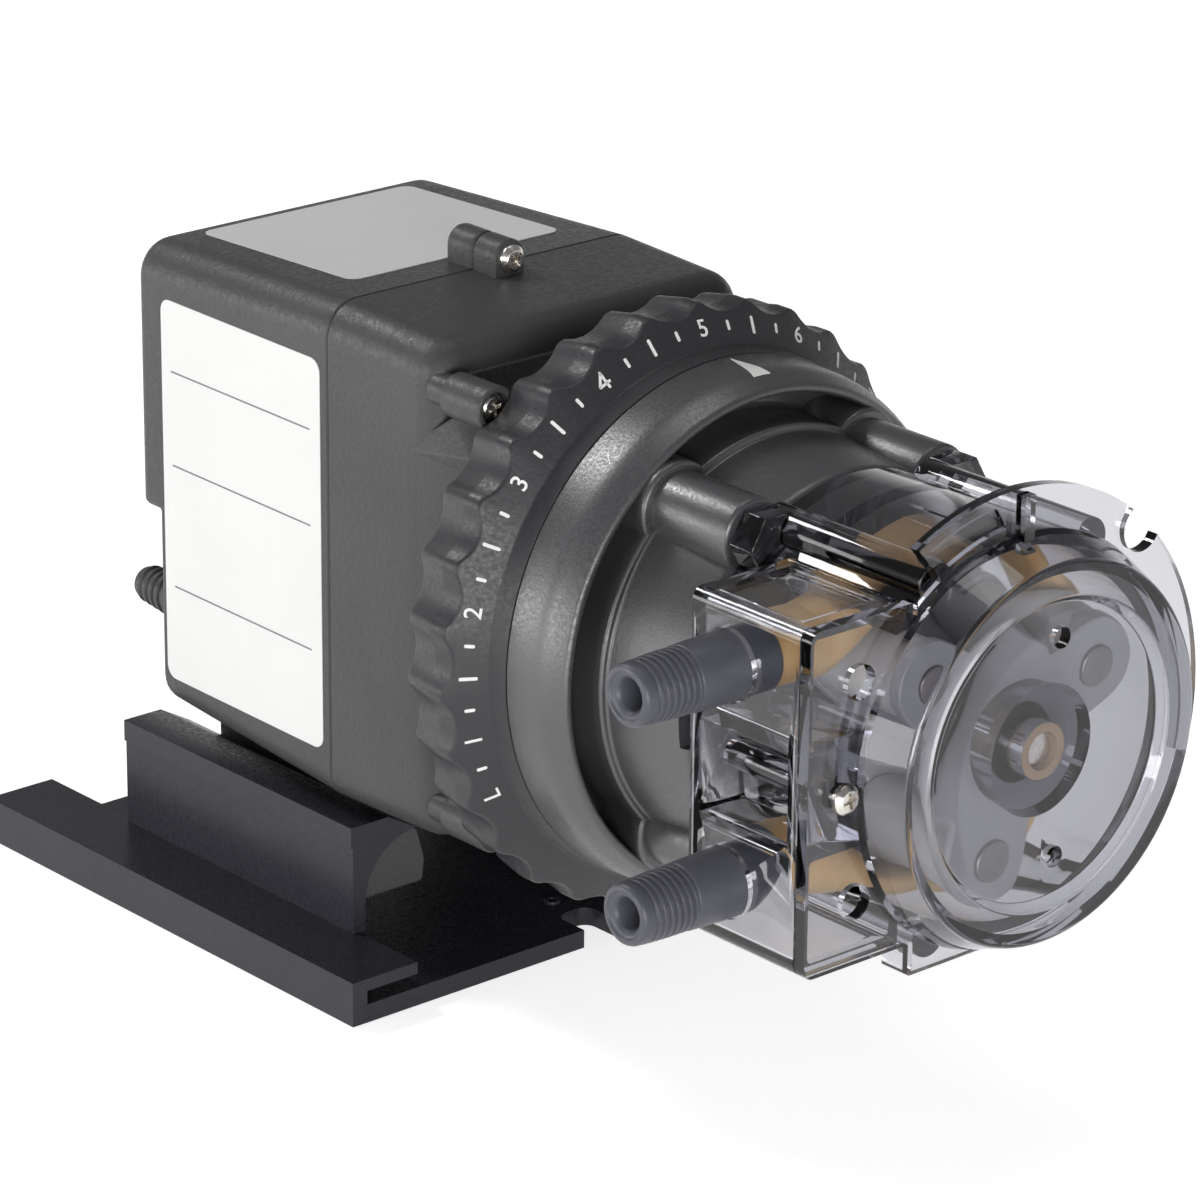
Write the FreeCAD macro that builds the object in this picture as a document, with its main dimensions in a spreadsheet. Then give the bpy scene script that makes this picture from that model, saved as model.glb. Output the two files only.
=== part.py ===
import FreeCAD, Part
import math
import os
import Sketcher

# Peristaltic injector pump: motor case with gear train, feed rate dial, roller head and mounting bracket.
# Lengths are millimetres, angles degrees. Most sub-parts are drawn in the shaft frame: x to the right of
# someone who faces the pump head, y from the head back to the motor, z up, zero on the shaft where the
# dial meets the bell. Every sub-part is then placed so that the part's origin is at the middle of the
# bracket's underside.

SIZES = [
    ("shaft_height", 92, "shaft axis above the underside of the bracket"),
    ("seam_setback", 108, "dial seam in front of the middle of the bracket"),
    ("run_gap", 0.05, "radial clearance of a shaft in its bearing"),
    ("slip_gap", 0.3, "clearance between parts that move past each other"),
    ("part_gap", 0.15, "half the visible joint line between the dial and its neighbours"),
    # mounting bracket, measured from its underside
    ("plate_half_width", 63.5, "half the width of the bracket"),
    ("plate_length", 128, "length of the bracket plate along the shaft"),
    ("plate_thick", 3.5, "thickness of the bracket plate"),
    ("channel_height", 10.3, "height of the bracket's edge channels"),
    ("channel_wall", 4, "outer wall of an edge channel"),
    ("lip_thick", 2.6, "lip over an edge channel"),
    ("lip_overrun", 8, "how far a lip runs on behind the plate"),
    ("rail_outer", 46.9, "outer face of a bracket rail from the middle"),
    ("rail_wall", 3.4, "upright wall of a bracket rail"),
    ("rail_front", 41, "front end of a rail, in front of the plate's middle"),
    ("rail_back", 40, "rear end of a rail, behind the plate's middle"),
    ("rail_top", 35.5, "top of a rail above the underside"),
    ("rail_crown", 37, "inner end of a rail's flat top from the middle"),
    ("rail_tip", 29, "tip of a rail's hook from the middle"),
    ("rail_hook_drop", 4.5, "hook tip below the rail top"),
    ("rail_hollow", 14.4, "radius of the hollow under a rail's hook"),
    ("rail_band", 5, "height of the raised band along a rail's top"),
    ("rail_band_step", 0.5, "how far that band stands out"),
    ("latch_slot_width", 9, "slot for the locking finger in the plate's front edge"),
    ("latch_slot_depth", 16, "depth of that slot"),
    ("latch_slot_shift", 4, "that slot's middle from the middle of the plate"),
    ("wall_screw_radius", 2.6, "screw hole in the bracket"),
    ("wall_screw_x", 20, "screw holes either side of the middle"),
    ("wall_screw_y", 40, "screw holes in front of and behind the middle"),
    ("foot_front", 59, "front end of the mounting foot behind the dial seam"),
    ("foot_back", 138, "rear end of the mounting foot"),
    ("foot_gap", 0.4, "clearance of the foot in the rails"),
    ("foot_neck", 24, "half the width of the foot's neck"),
    # motor case
    ("box_half_width", 44.5, "half the width of the case at its joint"),
    ("box_top", 60, "top of the case above the shaft at its joint"),
    ("box_bottom", 55, "bottom of the case below the shaft at its joint"),
    ("box_joint", 75.3, "joint of the two case halves behind the dial seam"),
    ("box_front", 32, "front face of the case"),
    ("box_back", 146, "rear face of the case"),
    ("box_front_narrowing", 0.8, "case half width lost at its front"),
    ("box_back_narrowing", 1.4, "case half width lost at its back"),
    ("box_front_drop", 1.6, "case height lost at its front"),
    ("box_back_drop", 2.4, "case height lost at its back"),
    ("box_front_rise", 1, "how far the underside rises to the front"),
    ("box_back_rise", 4.6, "how far the underside rises to the back"),
    ("box_round", 8, "rounding of the case's long edges"),
    ("boss_sink_in", 4, "how far a boss on the case reaches into it"),
    ("box_end_round", 7, "rounding round the case's front and rear faces"),
    ("step_level", 4, "step in the rear face below the shaft"),
    ("step_depth", 7.5, "depth of that step"),
    ("rear_rim_round", 3.5, "rounding round the rear faces"),
    ("case_wall", 3, "wall of the case"),
    ("gasket_thick", 0.8, "gasket between the case halves"),
    ("gasket_inset", 0.6, "how far the gasket lies inside the case's outline"),
    ("flange_radius", 62.5, "round flange behind the dial"),
    ("flange_front", 23.3, "front face of that flange"),
    ("flange_back", 27, "rear of its rim"),
    ("fairing_back", 47, "where the flange's fairing meets the case"),
    ("fairing_end_radius", 43, "radius of the fairing there"),
    ("gear_room_front", 38, "front end of the gear room"),
    ("hub_recess_radius", 30, "round recess in front of the gear room"),
    ("hub_recess_front", 28, "front end of that recess"),
    ("corner_boss_x", 40.6, "corner bosses from the middle"),
    ("corner_boss_top", 49.1, "upper corner bosses above the shaft"),
    ("corner_boss_low", 45.5, "lower corner bosses below the shaft"),
    ("corner_boss_radius", 4.9, "radius of a corner boss"),
    ("corner_sink_radius", 3.6, "sinking for a corner screw's head"),
    ("corner_sink_depth", 2.9, "depth of that sinking"),
    ("corner_boss_front", 23.4, "front end of a corner boss"),
    ("corner_boss_root", 6, "how far a corner boss reaches into the case's front"),
    ("gusset_drop", 14.7, "height of the gusset beside a corner boss"),
    ("gusset_shoulder", 2.6, "how far its slope has come down at the end of the boss"),
    ("gusset_back", 50.5, "rear end of that gusset"),
    ("top_boss_radius", 4.2, "screw boss on top of the case"),
    ("top_boss_centre", 63.5, "its screw above the shaft"),
    ("top_boss_front", 67.6, "its front end"),
    ("top_boss_back", 84.5, "its rear end"),
    ("top_boss_round", 4.1, "rounding of its top"),
    ("screw_head_radius", 3.2, "head of a case screw"),
    ("screw_head_height", 2.1, "height of that head"),
    ("screw_radius", 1.9, "shank of a case screw"),
    ("corner_screw_length", 11.4, "shank length of a corner screw"),
    ("top_screw_length", 14, "shank length of the top screw"),
    ("screw_room", 0.5, "free depth behind the end of a screw"),
    ("gland_x", 36, "cord gland left of the middle"),
    ("gland_drop", 27, "cord gland below the shaft"),
    ("gland_radius", 4.75, "cord gland behind its flange"),
    ("gland_length", 16, "how far the gland stands out"),
    ("gland_bore", 1.6, "bore of the gland"),
    ("gland_root_radius", 3.5, "gland inside the case wall"),
    ("gland_flange_radius", 5.75, "flange of the gland"),
    ("gland_flange_thick", 2.5, "thickness of that flange"),
    ("gland_end_radius", 3.6, "gland at its outer end"),
    # dial
    ("dial_radius", 67, "dial over its scallops"),
    ("dial_back_radius", 65.3, "dial at its rear edge"),
    ("dial_back", 22.9, "rear face of the dial"),
    ("dial_front_radius", 57.7, "dial at the seam"),
    ("dial_face_in_radius", 58.6, "inner edge of the number face"),
    ("dial_face_in", 4.3, "that edge behind the seam"),
    ("dial_face_out", 9.7, "outer edge of the number face behind the seam"),
    ("dial_bearing_radius", 49, "spigot that the dial turns on"),
    ("scallop_count", 30, "finger scallops round the dial"),
    ("scallop_depth", 2.2, "depth of a scallop"),
    ("scallop_turn", 3.7, "angle of the first scallop from straight up"),
    ("scallop_edge", 3, "rounding between two scallops"),
    ("dial_rim_width", 4, "widest part of the dial along the shaft"),
    ("scallop_spare", 0.8, "blank outside the scallops before they are cut"),
    ("tab_half_width", 3, "half the width of the dial's inner tab"),
    ("tab_front", 9.3, "front of that tab"),
    ("tab_back", 13.7, "rear of that tab"),
    ("spigot_slot_angle", 274, "slot in the spigot that the tab passes through"),
    ("cam_front", 8, "front faces of the two cams"),
    ("cam_parting", 38, "radius where the two cams meet"),
    ("cam_notch", 12, "notch in each cam"),
    ("cam_notch_depth", 1.5, "depth of that notch"),
    ("fixed_cam_width", 6.5, "inner edge of the fixed cam from the parting"),
    ("variable_cam_overrun", 1.3, "how far the variable cam runs on behind the tab"),
    ("holder_front", 2, "front face of the pin holder"),
    ("holder_thick", 5, "thickness of the pin holder"),
    ("index_plate_radius", 22, "radius of the index plate"),
    ("index_pin_circle", 16, "index pins from the shaft"),
    ("index_pin_radius", 1.5, "index pins"),
    ("lifter_thick", 3, "thickness of the pin lifter"),
    ("lifter_arm", 3.5, "half the width of its arms"),
    ("lifter_travel", 3, "travel of the pin lifter"),
    ("spring_outer", 10.8, "outside of the lifter spring"),
    ("spring_wire", 1.6, "thickness of that spring's wire"),
    ("spring_dip", 0.5, "how deep the gaps between its turns are drawn"),
    ("spring_turns", 5, "turns of that spring"),
    # bell
    ("bell_rim_radius", 54.4, "bell at its front rim"),
    ("bell_front", 15.7, "front rim of the bell, in front of the seam"),
    ("bell_waist", 10, "where the bell starts to narrow, in front of the seam"),
    ("bell_waist_step", 0.4, "bell radius lost there"),
    ("bell_waist_round", 8, "rounding there"),
    ("groove_outer_radius", 52.6, "outer wall of the groove in the bell"),
    ("groove_floor", 4, "floor of that groove, in front of the seam"),
    ("hub_base_radius", 47.4, "bell's hub at the groove floor"),
    ("hub_step_front", 17.4, "step in the hub, in front of the seam"),
    ("hub_step_radius", 47, "hub behind that step"),
    ("hub_root_radius", 45.5, "hub in front of that step"),
    ("hub_front_radius", 43.3, "hub at its front"),
    ("hub_front", 40, "front face of the hub"),
    ("hub_wall", 3.4, "wall of the hub"),
    ("boss_wall", 3, "wall of the bearing boss in the hub"),
    ("post_hole_depth", 14, "screw holes in the hub posts"),
    ("post_x", 26, "hub posts from the middle"),
    ("post_z", 35.5, "hub posts above and below the shaft"),
    ("post_radius", 8, "radius of a hub post"),
    ("post_root_radius", 9.8, "wider root of a hub post"),
    ("post_back", 2, "rear end of a hub post, in front of the seam"),
    ("bearing_radius", 9, "outside of the bearings"),
    ("bearing_length", 10, "length of the bell's bearing"),
    ("spigot_wall", 3, "wall of the spigot inside the dial"),
    ("bell_screw_angle", 38, "bell screws above and below the horizontal"),
    ("bell_screw_radius", 1.05, "shank of a bell screw"),
    ("bell_screw_grip", 5.5, "length of that shank inside the spigot"),
    ("bell_screw_head_radius", 2.4, "head of a bell screw"),
    ("bell_screw_head_height", 1.8, "height of that head"),
    # clear tube housing
    ("drum_radius", 43.5, "outside of the clear drum"),
    ("drum_wall", 3, "wall of the clear drum"),
    ("track_radius", 38, "inside of the roller room that the tube lies against"),
    ("housing_back", 40.3, "rear face of the clear housing, in front of the seam"),
    ("housing_plate", 3, "its rear plate"),
    ("web_back", 52, "rear face of the web behind the roller room"),
    ("web_front", 55, "front face of that web"),
    ("housing_front", 87, "front face of the clear housing"),
    ("block_left", 57, "left face of the fitting block from the middle"),
    ("block_right", 30, "right end of the fitting block from the middle"),
    ("block_half_height", 36.5, "half the height of the fitting block"),
    ("block_back", 56, "rear face of the fitting block"),
    ("block_wall", 2.5, "wall of the fitting block"),
    ("block_round", 2.5, "rounding of the block's long corners"),
    ("block_frame", 3.4, "border round the sunk panels of the block"),
    ("block_sink", 1, "depth of those panels"),
    ("cell_low", 9.5, "inner edge of a tube cell from the shaft"),
    ("bay_half_height", 7.5, "half the height of the open bay between the cells"),
    ("bay_depth", 11, "depth of that bay from the block's left face"),
    ("cell_round", 1.2, "rounding in the corners of a cell"),
    ("tower_x", 21, "clear towers from the middle"),
    ("tower_z", 37.5, "clear towers above and below the shaft"),
    ("tower_radius", 4.5, "radius of a clear tower"),
    ("tower_bore", 2.6, "bore of a clear tower"),
    ("tower_floor", 14, "end of that bore in front of the housing's rear face"),
    ("post_cap_radius", 7.4, "clear hexagonal cap in front of a hub post, over its corners"),
    ("post_cap_front", 47, "front of that cap"),
    ("head_screw_x", 47.4, "head screw left of the middle"),
    ("head_screw_boss", 3, "radius of the head screw's boss"),
    ("head_screw_length", 12, "shank length of the head screw"),
    # clear cover
    ("cover_gap", 0.3, "gap between housing and cover"),
    ("peep_x", 43.3, "round holes in the cover over the fitting block, left of the middle"),
    ("peep_z", 23.2, "those holes above and below the shaft"),
    ("peep_radius", 3.7, "radius of those holes"),
    ("cover_plate", 2.7, "thickness of the cover's flange"),
    ("cover_base_radius", 44, "cover drum at its flange"),
    ("cover_rim_radius", 40.3, "cover drum at its front rim"),
    ("cover_front", 100.5, "front rim of the cover"),
    ("cover_recess_radius", 32.1, "recess in the cover's front"),
    ("cover_recess_floor", 98.3, "floor of that recess"),
    ("cover_wall", 2.6, "wall of the cover"),
    ("cover_recess_thick", 1.5, "cover in front of its bushing"),
    ("cover_boss_radius", 14, "boss behind the cover's middle"),
    ("cover_boss_back", 88.5, "rear end of that boss"),
    ("cover_wing_radius", 54.3, "wing of the cover's flange"),
    ("wing_x", -2.3, "middle of the wing's rim from the shaft"),
    ("wing_z", -0.7, "that middle above the shaft"),
    ("wing_start", 119, "angle where the wing begins"),
    ("wing_end", -15, "angle where it ends"),
    ("wing_window_low", 46.3, "inner edge of the sunk window in the wing"),
    ("wing_window_high", 51.8, "outer edge of that window"),
    ("wing_window_start", 116, "angle where the window begins"),
    ("wing_window_end", 96, "angle where it ends"),
    ("wing_window_depth", 1.3, "depth of that window"),
    ("wing_rib_x", 1, "rib across the wing, left of the middle"),
    ("wing_rib_thick", 2.8, "thickness of that rib"),
    ("wing_rib_high", 2.6, "how far it stands out in front of the wing"),
    ("wing_bite_angle", 47.8, "angle of the finger notch in the wing"),
    ("wing_bite_circle", 50.6, "middle of that notch from the shaft"),
    ("wing_bite_radius", 5.2, "radius of that notch"),
    ("tail_left", 28.6, "left end of the tail below the cover's drum"),
    ("tail_low", 43.4, "underside of the tail below the shaft"),
    ("tail_top", 36.9, "top of the tail's rib below the shaft"),
    ("tail_rib_thick", 2.6, "rib at the tail's left end"),
    ("tail_rib_back", 82.6, "rear end of that rib"),
    ("cover_hole_radius", 2.3, "open holes in the cover"),
    ("cover_hole_z", 23.5, "those holes above and below the shaft"),
    ("cover_hole_x", 3.5, "those holes right of the middle"),
    ("bushing_radius", 6, "outside of the cover's bushing"),
    ("bushing_length", 7.5, "length of the cover's bushing"),
    # shaft, rollers and tube
    ("shaft_radius", 4, "roller shaft"),
    ("shaft_front", 95, "front end of the roller shaft"),
    ("shaft_back", 46, "rear end of the roller shaft"),
    ("roller_count", 3, "rollers"),
    ("roller_circle", 25, "roller axes from the shaft"),
    ("roller_radius", 8.2, "radius of a roller"),
    ("roller_bore", 2.55, "bore of a roller"),
    ("roller_pin_radius", 2.5, "roller pins"),
    ("pin_head_radius", 4, "head of a roller pin"),
    ("pin_head_thick", 0.8, "thickness of that head"),
    ("roller_back", 58.7, "rear end of a roller, in front of the seam"),
    ("roller_front", 84, "front end of a roller"),
    ("roller_start_angle", 22, "angle of the first roller"),
    ("tube_plane", 66, "middle of rollers and tube, in front of the seam"),
    ("carrier_plate", 2.8, "thickness of a carrier plate"),
    ("carrier_arm_radius", 9.4, "round end of a carrier arm"),
    ("carrier_bar_half", 8.46, "half the width of a carrier arm"),
    ("carrier_hub_radius", 9, "hub of the roller carrier"),
    ("carrier_web_radius", 19, "carrier plate between its arms"),
    ("fitting_z", 23, "fittings above and below the shaft"),
    ("fitting_mouth", 83, "open end of a fitting from the middle"),
    ("thread_radius", 6.85, "outside of the fitting's thread"),
    ("thread_length", 14, "length of that thread"),
    ("neck_radius", 7.4, "plain neck of a fitting"),
    ("neck_end", 47, "inner end of the neck from the middle"),
    ("barb_radius", 4.2, "barb inside the pump tube"),
    ("barb_end", 37, "inner end of the barb from the middle"),
    ("fitting_bore", 3.1, "bore of a fitting"),
    ("fitting_lead_in", 1.2, "widening of that bore at its mouth"),
    ("tube_end_radius", 5.6, "outside of the pump tube over the barb"),
    ("tube_flat_thick", 4.2, "pump tube pressed flat"),
    ("tube_flat_width", 13.6, "width of the tube pressed flat"),
    ("tube_turn", 118, "half the turn of the tube round the track"),
    # gear train
    ("gear_module", 0.7, "module of all the gears"),
    ("tooth_addendum", 0.9, "height of a tooth above the pitch line, in modules"),
    ("tooth_dedendum", 1.25, "depth of a gap below the pitch line, in modules"),
    ("gap_root_half", 0.62, "half the width of a gap at its root, in modules"),
    ("gap_tip_half", 1.36, "half the width of a gap at the tips, in modules"),
    ("rotor_teeth", 10, "teeth of the rotor pinion"),
    ("first_teeth", 50, "teeth of the first wheel"),
    ("first_pinion_teeth", 12, "teeth of the first pinion"),
    ("second_teeth", 48, "teeth of the second wheel"),
    ("second_pinion_teeth", 15, "teeth of the second pinion"),
    ("output_teeth", 45, "teeth of the output wheel"),
    ("first_wheel_back", 2.5, "rear face of the first wheel, in front of the rear gear plate"),
    ("first_wheel_front", 7.5, "its front face"),
    ("first_pinion_front", 15.5, "front face of the first pinion"),
    ("second_wheel_back", 9.5, "rear face of the second wheel"),
    ("second_wheel_front", 14.5, "its front face"),
    ("second_pinion_front", 26, "front face of the second pinion"),
    ("output_wheel_back", 19, "rear face of the output wheel"),
    ("output_wheel_front", 25, "its front face"),
    ("sleeve_back", 17, "rear end of the output sleeve"),
    ("rotor_pinion_front", 8, "front end of the rotor pinion"),
    ("rotor_pinion_back", 1.5, "its rear end"),
    ("index_plate_thick", 4, "thickness of the index plate"),
    ("index_pin_gap", 0.6, "radial clearance of an index pin in that plate"),
    ("rotor_pinion_hole", 6, "hole in the rear gear plate for the rotor pinion"),
    ("gear_plate_thick", 2.5, "gear plates"),
    ("gear_plate_rear", 68.5, "front face of the rear gear plate"),
    ("gear_plate_half_width", 39, "half the width of a gear plate"),
    ("gear_plate_top", 52, "top of a gear plate above the shaft"),
    ("gear_plate_low", 48, "bottom of a gear plate below the shaft"),
    ("spacer_radius", 3.5, "spacers between the gear plates"),
    ("spacer_inset", 5, "spacers from a gear plate's edges"),
    ("axle_radius", 2, "axles of the gears"),
    ("sleeve_radius", 7, "output sleeve"),
    ("sleeve_front", 10, "front end of the output sleeve"),
    # motor
    ("stack_front", 86, "front face of the stator stack"),
    ("stack_length", 24, "length of the stator stack"),
    ("stack_half_width", 30, "half the width of the stator stack"),
    ("stack_low", 46, "bottom of the stator stack below the shaft"),
    ("stack_top", 44, "top of the stator stack above the shaft"),
    ("rotor_radius", 14.6, "motor rotor"),
    ("air_gap", 0.4, "air gap round the rotor"),
    ("rotor_shaft_radius", 2.5, "motor shaft"),
    ("rotor_overhang", 1, "rotor longer than the stack at either end"),
    ("rotor_shaft_back", 22, "rear end of the motor shaft behind the stack"),
    ("motor_bolt_radius", 2, "motor bolts"),
    ("motor_bolt_inset", 5, "motor bolts from the stack's sides"),
    ("motor_spacer_radius", 4, "sleeves on the motor bolts"),
    ("bridge_thick", 6, "thickness of a bearing bridge"),
    ("bridge_half_height", 10, "half the height of a bearing bridge"),
    ("bridge_hollow_depth", 2.5, "hollow in a bridge for the rotor's end"),
    ("motor_bearing_radius", 6.45, "outside of a motor bearing"),
    ("motor_bearing_length", 3.5, "length of a motor bearing"),
    ("fan_radius", 22, "cooling fan"),
    ("fan_blades", 9, "blades of the cooling fan"),
    ("fan_distance", 9, "fan behind the stack"),
    ("fan_length", 10, "length of the fan"),
    ("fan_disc", 1.5, "thickness of the fan's disc"),
    ("fan_hub_radius", 7, "hub of the fan"),
    ("fan_blade_thick", 1.6, "thickness of a fan blade"),
    ("coil_half_length", 17, "half the length of the coil"),
    ("coil_thick", 4.2, "winding thickness of the coil"),
    ("core_half_height", 6, "half the height of the core inside the coil"),
    ("core_centre", 37, "that core above the shaft"),
    ("window_room", 2.5, "free height below the coil in the stack's window"),
]


class Size:
    """A number together with the spreadsheet expression that it comes from."""

    def __init__(self, text, value):
        self.text = text
        self.value = value

    def __add__(self, other):
        other = as_size(other)
        return Size(f"({self.text} + {other.text})", self.value + other.value)

    def __radd__(self, other):
        return as_size(other) + self

    def __sub__(self, other):
        other = as_size(other)
        return Size(f"({self.text} - {other.text})", self.value - other.value)

    def __rsub__(self, other):
        return as_size(other) - self

    def __mul__(self, other):
        other = as_size(other)
        return Size(f"({self.text} * {other.text})", self.value * other.value)

    def __rmul__(self, other):
        return as_size(other) * self

    def __truediv__(self, other):
        other = as_size(other)
        return Size(f"({self.text} / {other.text})", self.value / other.value)

    def __rtruediv__(self, other):
        return as_size(other) / self

    def __neg__(self):
        return Size(f"(-1 * {self.text})", -self.value)


def as_size(number):
    """A plain number as a Size; a Size stays as it is."""
    if isinstance(number, Size):
        return number
    return Size(f"({number!r})", float(number))


def cosine(angle):
    angle = as_size(angle)
    return Size(f"cos({angle.text} * 1 deg)", math.cos(math.radians(angle.value)))


def sine(angle):
    angle = as_size(angle)
    return Size(f"sin({angle.text} * 1 deg)", math.sin(math.radians(angle.value)))


doc = FreeCAD.newDocument("injector_pump")
sheet = doc.addObject("Spreadsheet::Sheet", "Sizes")
for row, (alias, number, meaning) in enumerate(SIZES, start=1):
    sheet.set(f"A{row}", alias)
    sheet.set(f"B{row}", str(number))
    sheet.set(f"C{row}", meaning)
    sheet.setAlias(f"B{row}", alias)
doc.recompute()


class Driving:
    """Gives each spreadsheet alias as a Size, such as d.box_top."""

    def __getattr__(self, alias):
        return Size(f"Sizes.{alias}", float(sheet.get(alias)))


d = Driving()
parts = []


def bind(thing, prop, size):
    """Set one property of a document object and tie it to the spreadsheet."""
    thing.setExpression(prop, as_size(size).text)


def place(thing, across=0.0, back=0.0, up=0.0, in_shaft_frame=True):
    """Tie a sub-part's placement to the spreadsheet."""
    back = as_size(back)
    up = as_size(up)
    if in_shaft_frame:
        back = back - d.seam_setback
        up = up + d.shaft_height
    bind(thing, "Placement.Base.x", across)
    bind(thing, "Placement.Base.y", back)
    bind(thing, "Placement.Base.z", up)


def new_body(name, **where):
    """An empty body in the shaft frame, which is written out as one sub-part."""
    body = doc.addObject("PartDesign::Body", name)
    body.Label = name
    place(body, **where)
    parts.append(body)
    return body


def origin_feature(body, role):
    """One of a body's own origin planes or axes."""
    for feature in body.Origin.OriginFeatures:
        if feature.Role == role:
            return feature
    raise ValueError(role)


PLANES = {"X": "YZ_Plane", "Y": "XZ_Plane", "Z": "XY_Plane"}
NORMAL_SIGN = {"X": 1, "Y": -1, "Z": 1}
names_used = {}


def unique(name):
    names_used[name] = names_used.get(name, 0) + 1
    return f"{name}_{names_used[name]}"


def new_sketch(body, axis, at=0.0):
    """A sketch on the body's plane across an axis, shifted along that axis."""
    sketch = body.newObject("Sketcher::SketchObject", unique(body.Name + "_sketch"))
    sketch.AttachmentSupport = (origin_feature(body, PLANES[axis]), [""])
    sketch.MapMode = "FlatFace"
    at = as_size(at)
    bind(sketch, "AttachmentOffset.Base.z", at * NORMAL_SIGN[axis])
    return sketch


def hold(sketch, kind, *where):
    """Add a constraint whose last value is a Size, tied to the spreadsheet."""
    size = as_size(where[-1])
    index = sketch.addConstraint(Sketcher.Constraint(kind, *where[:-1], size.value))
    sketch.setExpression(f"Constraints[{index}]", size.text)


def outline(sketch, corners):
    """Closed outline through corners (across, up) or (across, up, rounding), all tied to the spreadsheet."""
    count = len(corners)
    spot = []
    rounding = []
    for corner in corners:
        spot.append(FreeCAD.Vector(as_size(corner[0]).value, as_size(corner[1]).value, 0))
        rounding.append(as_size(corner[2]).value if len(corner) > 2 else 0.0)
    leave = []
    arrive = []
    for i in range(count):
        to_next = (spot[(i + 1) % count] - spot[i]).normalize()
        to_last = (spot[i - 1] - spot[i]).normalize()
        cut = 0.0
        if rounding[i] > 0:
            half_turn = to_next.getAngle(to_last) / 2
            cut = rounding[i] / math.tan(half_turn)
        leave.append(spot[i] + to_next * cut)
        arrive.append(spot[i] + to_last * cut)
    first = sketch.GeometryCount
    for i in range(count):
        sketch.addGeometry(Part.LineSegment(leave[i], arrive[(i + 1) % count]), False)
    for i in range(count):
        line = first + i
        before = first + (i - 1) % count
        if rounding[i] == 0:
            sketch.addConstraint(Sketcher.Constraint("Coincident", before, 2, line, 1))
            hold(sketch, "DistanceX", -1, 1, line, 1, corners[i][0])
            hold(sketch, "DistanceY", -1, 1, line, 1, corners[i][1])
            continue
        to_next = (leave[i] - spot[i]).normalize()
        to_last = (arrive[i] - spot[i]).normalize()
        inward = (to_next + to_last).normalize()
        reach = rounding[i] / math.sin(to_next.getAngle(to_last) / 2)
        centre = spot[i] + inward * reach
        middle = centre - inward * rounding[i]
        arc = Part.ArcOfCircle(
            Part.Circle(centre, FreeCAD.Vector(0, 0, 1), rounding[i]),
            *arc_range(centre, arrive[i], middle, leave[i]),
        )
        ring = sketch.addGeometry(arc, False)
        start_is_arrive = (arc.StartPoint - arrive[i]).Length < 1e-6
        arrive_end, leave_end = (1, 2) if start_is_arrive else (2, 1)
        sketch.addConstraint(Sketcher.Constraint("Tangent", before, 2, ring, arrive_end))
        sketch.addConstraint(Sketcher.Constraint("Tangent", line, 1, ring, leave_end))
        hold(sketch, "Radius", ring, corners[i][2])
        point = sketch.addGeometry(Part.Point(spot[i]), True)
        sketch.addConstraint(Sketcher.Constraint("PointOnObject", point, 1, before))
        sketch.addConstraint(Sketcher.Constraint("PointOnObject", point, 1, line))
        hold(sketch, "DistanceX", -1, 1, point, 1, corners[i][0])
        hold(sketch, "DistanceY", -1, 1, point, 1, corners[i][1])


def arc_range(centre, one, middle, other):
    """Start and end angle, anticlockwise, of the arc from one to other that passes through middle."""
    angles = []
    for point in (one, middle, other):
        angles.append(math.atan2(point.y - centre.y, point.x - centre.x) % (2 * math.pi))
    start, through, end = angles
    if (through - start) % (2 * math.pi) > (end - start) % (2 * math.pi):
        start, end = end, start
    if end < start:
        end += 2 * math.pi
    return start, end


def circle(sketch, across, up, radius):
    """A circle tied to the spreadsheet."""
    across = as_size(across)
    up = as_size(up)
    radius = as_size(radius)
    centre = FreeCAD.Vector(across.value, up.value, 0)
    ring = sketch.addGeometry(Part.Circle(centre, FreeCAD.Vector(0, 0, 1), radius.value), False)
    hold(sketch, "DistanceX", -1, 1, ring, 3, across)
    hold(sketch, "DistanceY", -1, 1, ring, 3, up)
    hold(sketch, "Radius", ring, radius)


def rectangle(left, right, low, high, rounding=None):
    """Corners of an upright rectangle for outline()."""
    corners = [(left, low), (right, low), (right, high), (left, high)]
    if rounding is None:
        return corners
    return [corner + (rounding,) for corner in corners]


def extrude(body, axis, low, high, draw, kind="Pad"):
    """Pad or pocket what draw() puts in a sketch, from low to high along an axis."""
    low = as_size(low)
    high = as_size(high)
    from_high = (NORMAL_SIGN[axis] < 0) != (kind == "Pocket")
    sketch = new_sketch(body, axis, high if from_high else low)
    draw(sketch)
    feature = body.newObject(f"PartDesign::{kind}", unique(body.Name + "_" + kind.lower()))
    feature.Profile = sketch
    bind(feature, "Length", high - low)
    body.Tip = feature
    return feature


def pad(body, axis, low, high, draw):
    return extrude(body, axis, low, high, draw, "Pad")


def pocket(body, axis, low, high, draw):
    """A pocket, with a check that it really takes material away."""
    doc.recompute()
    before = body.Shape.Volume
    feature = extrude(body, axis, low, high, draw, "Pocket")
    doc.recompute()
    if not body.Shape.Volume < before - 1e-6:
        raise RuntimeError(f"{feature.Name} takes nothing away")
    return feature


def polygon(corners):
    """A draw function for extrude() that puts in one closed outline."""
    return lambda sketch: outline(sketch, corners)


def rings(*circles):
    """A draw function for extrude() that puts in circles (across, up, radius)."""

    def draw(sketch):
        for across, up, radius in circles:
            circle(sketch, across, up, radius)

    return draw


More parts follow.
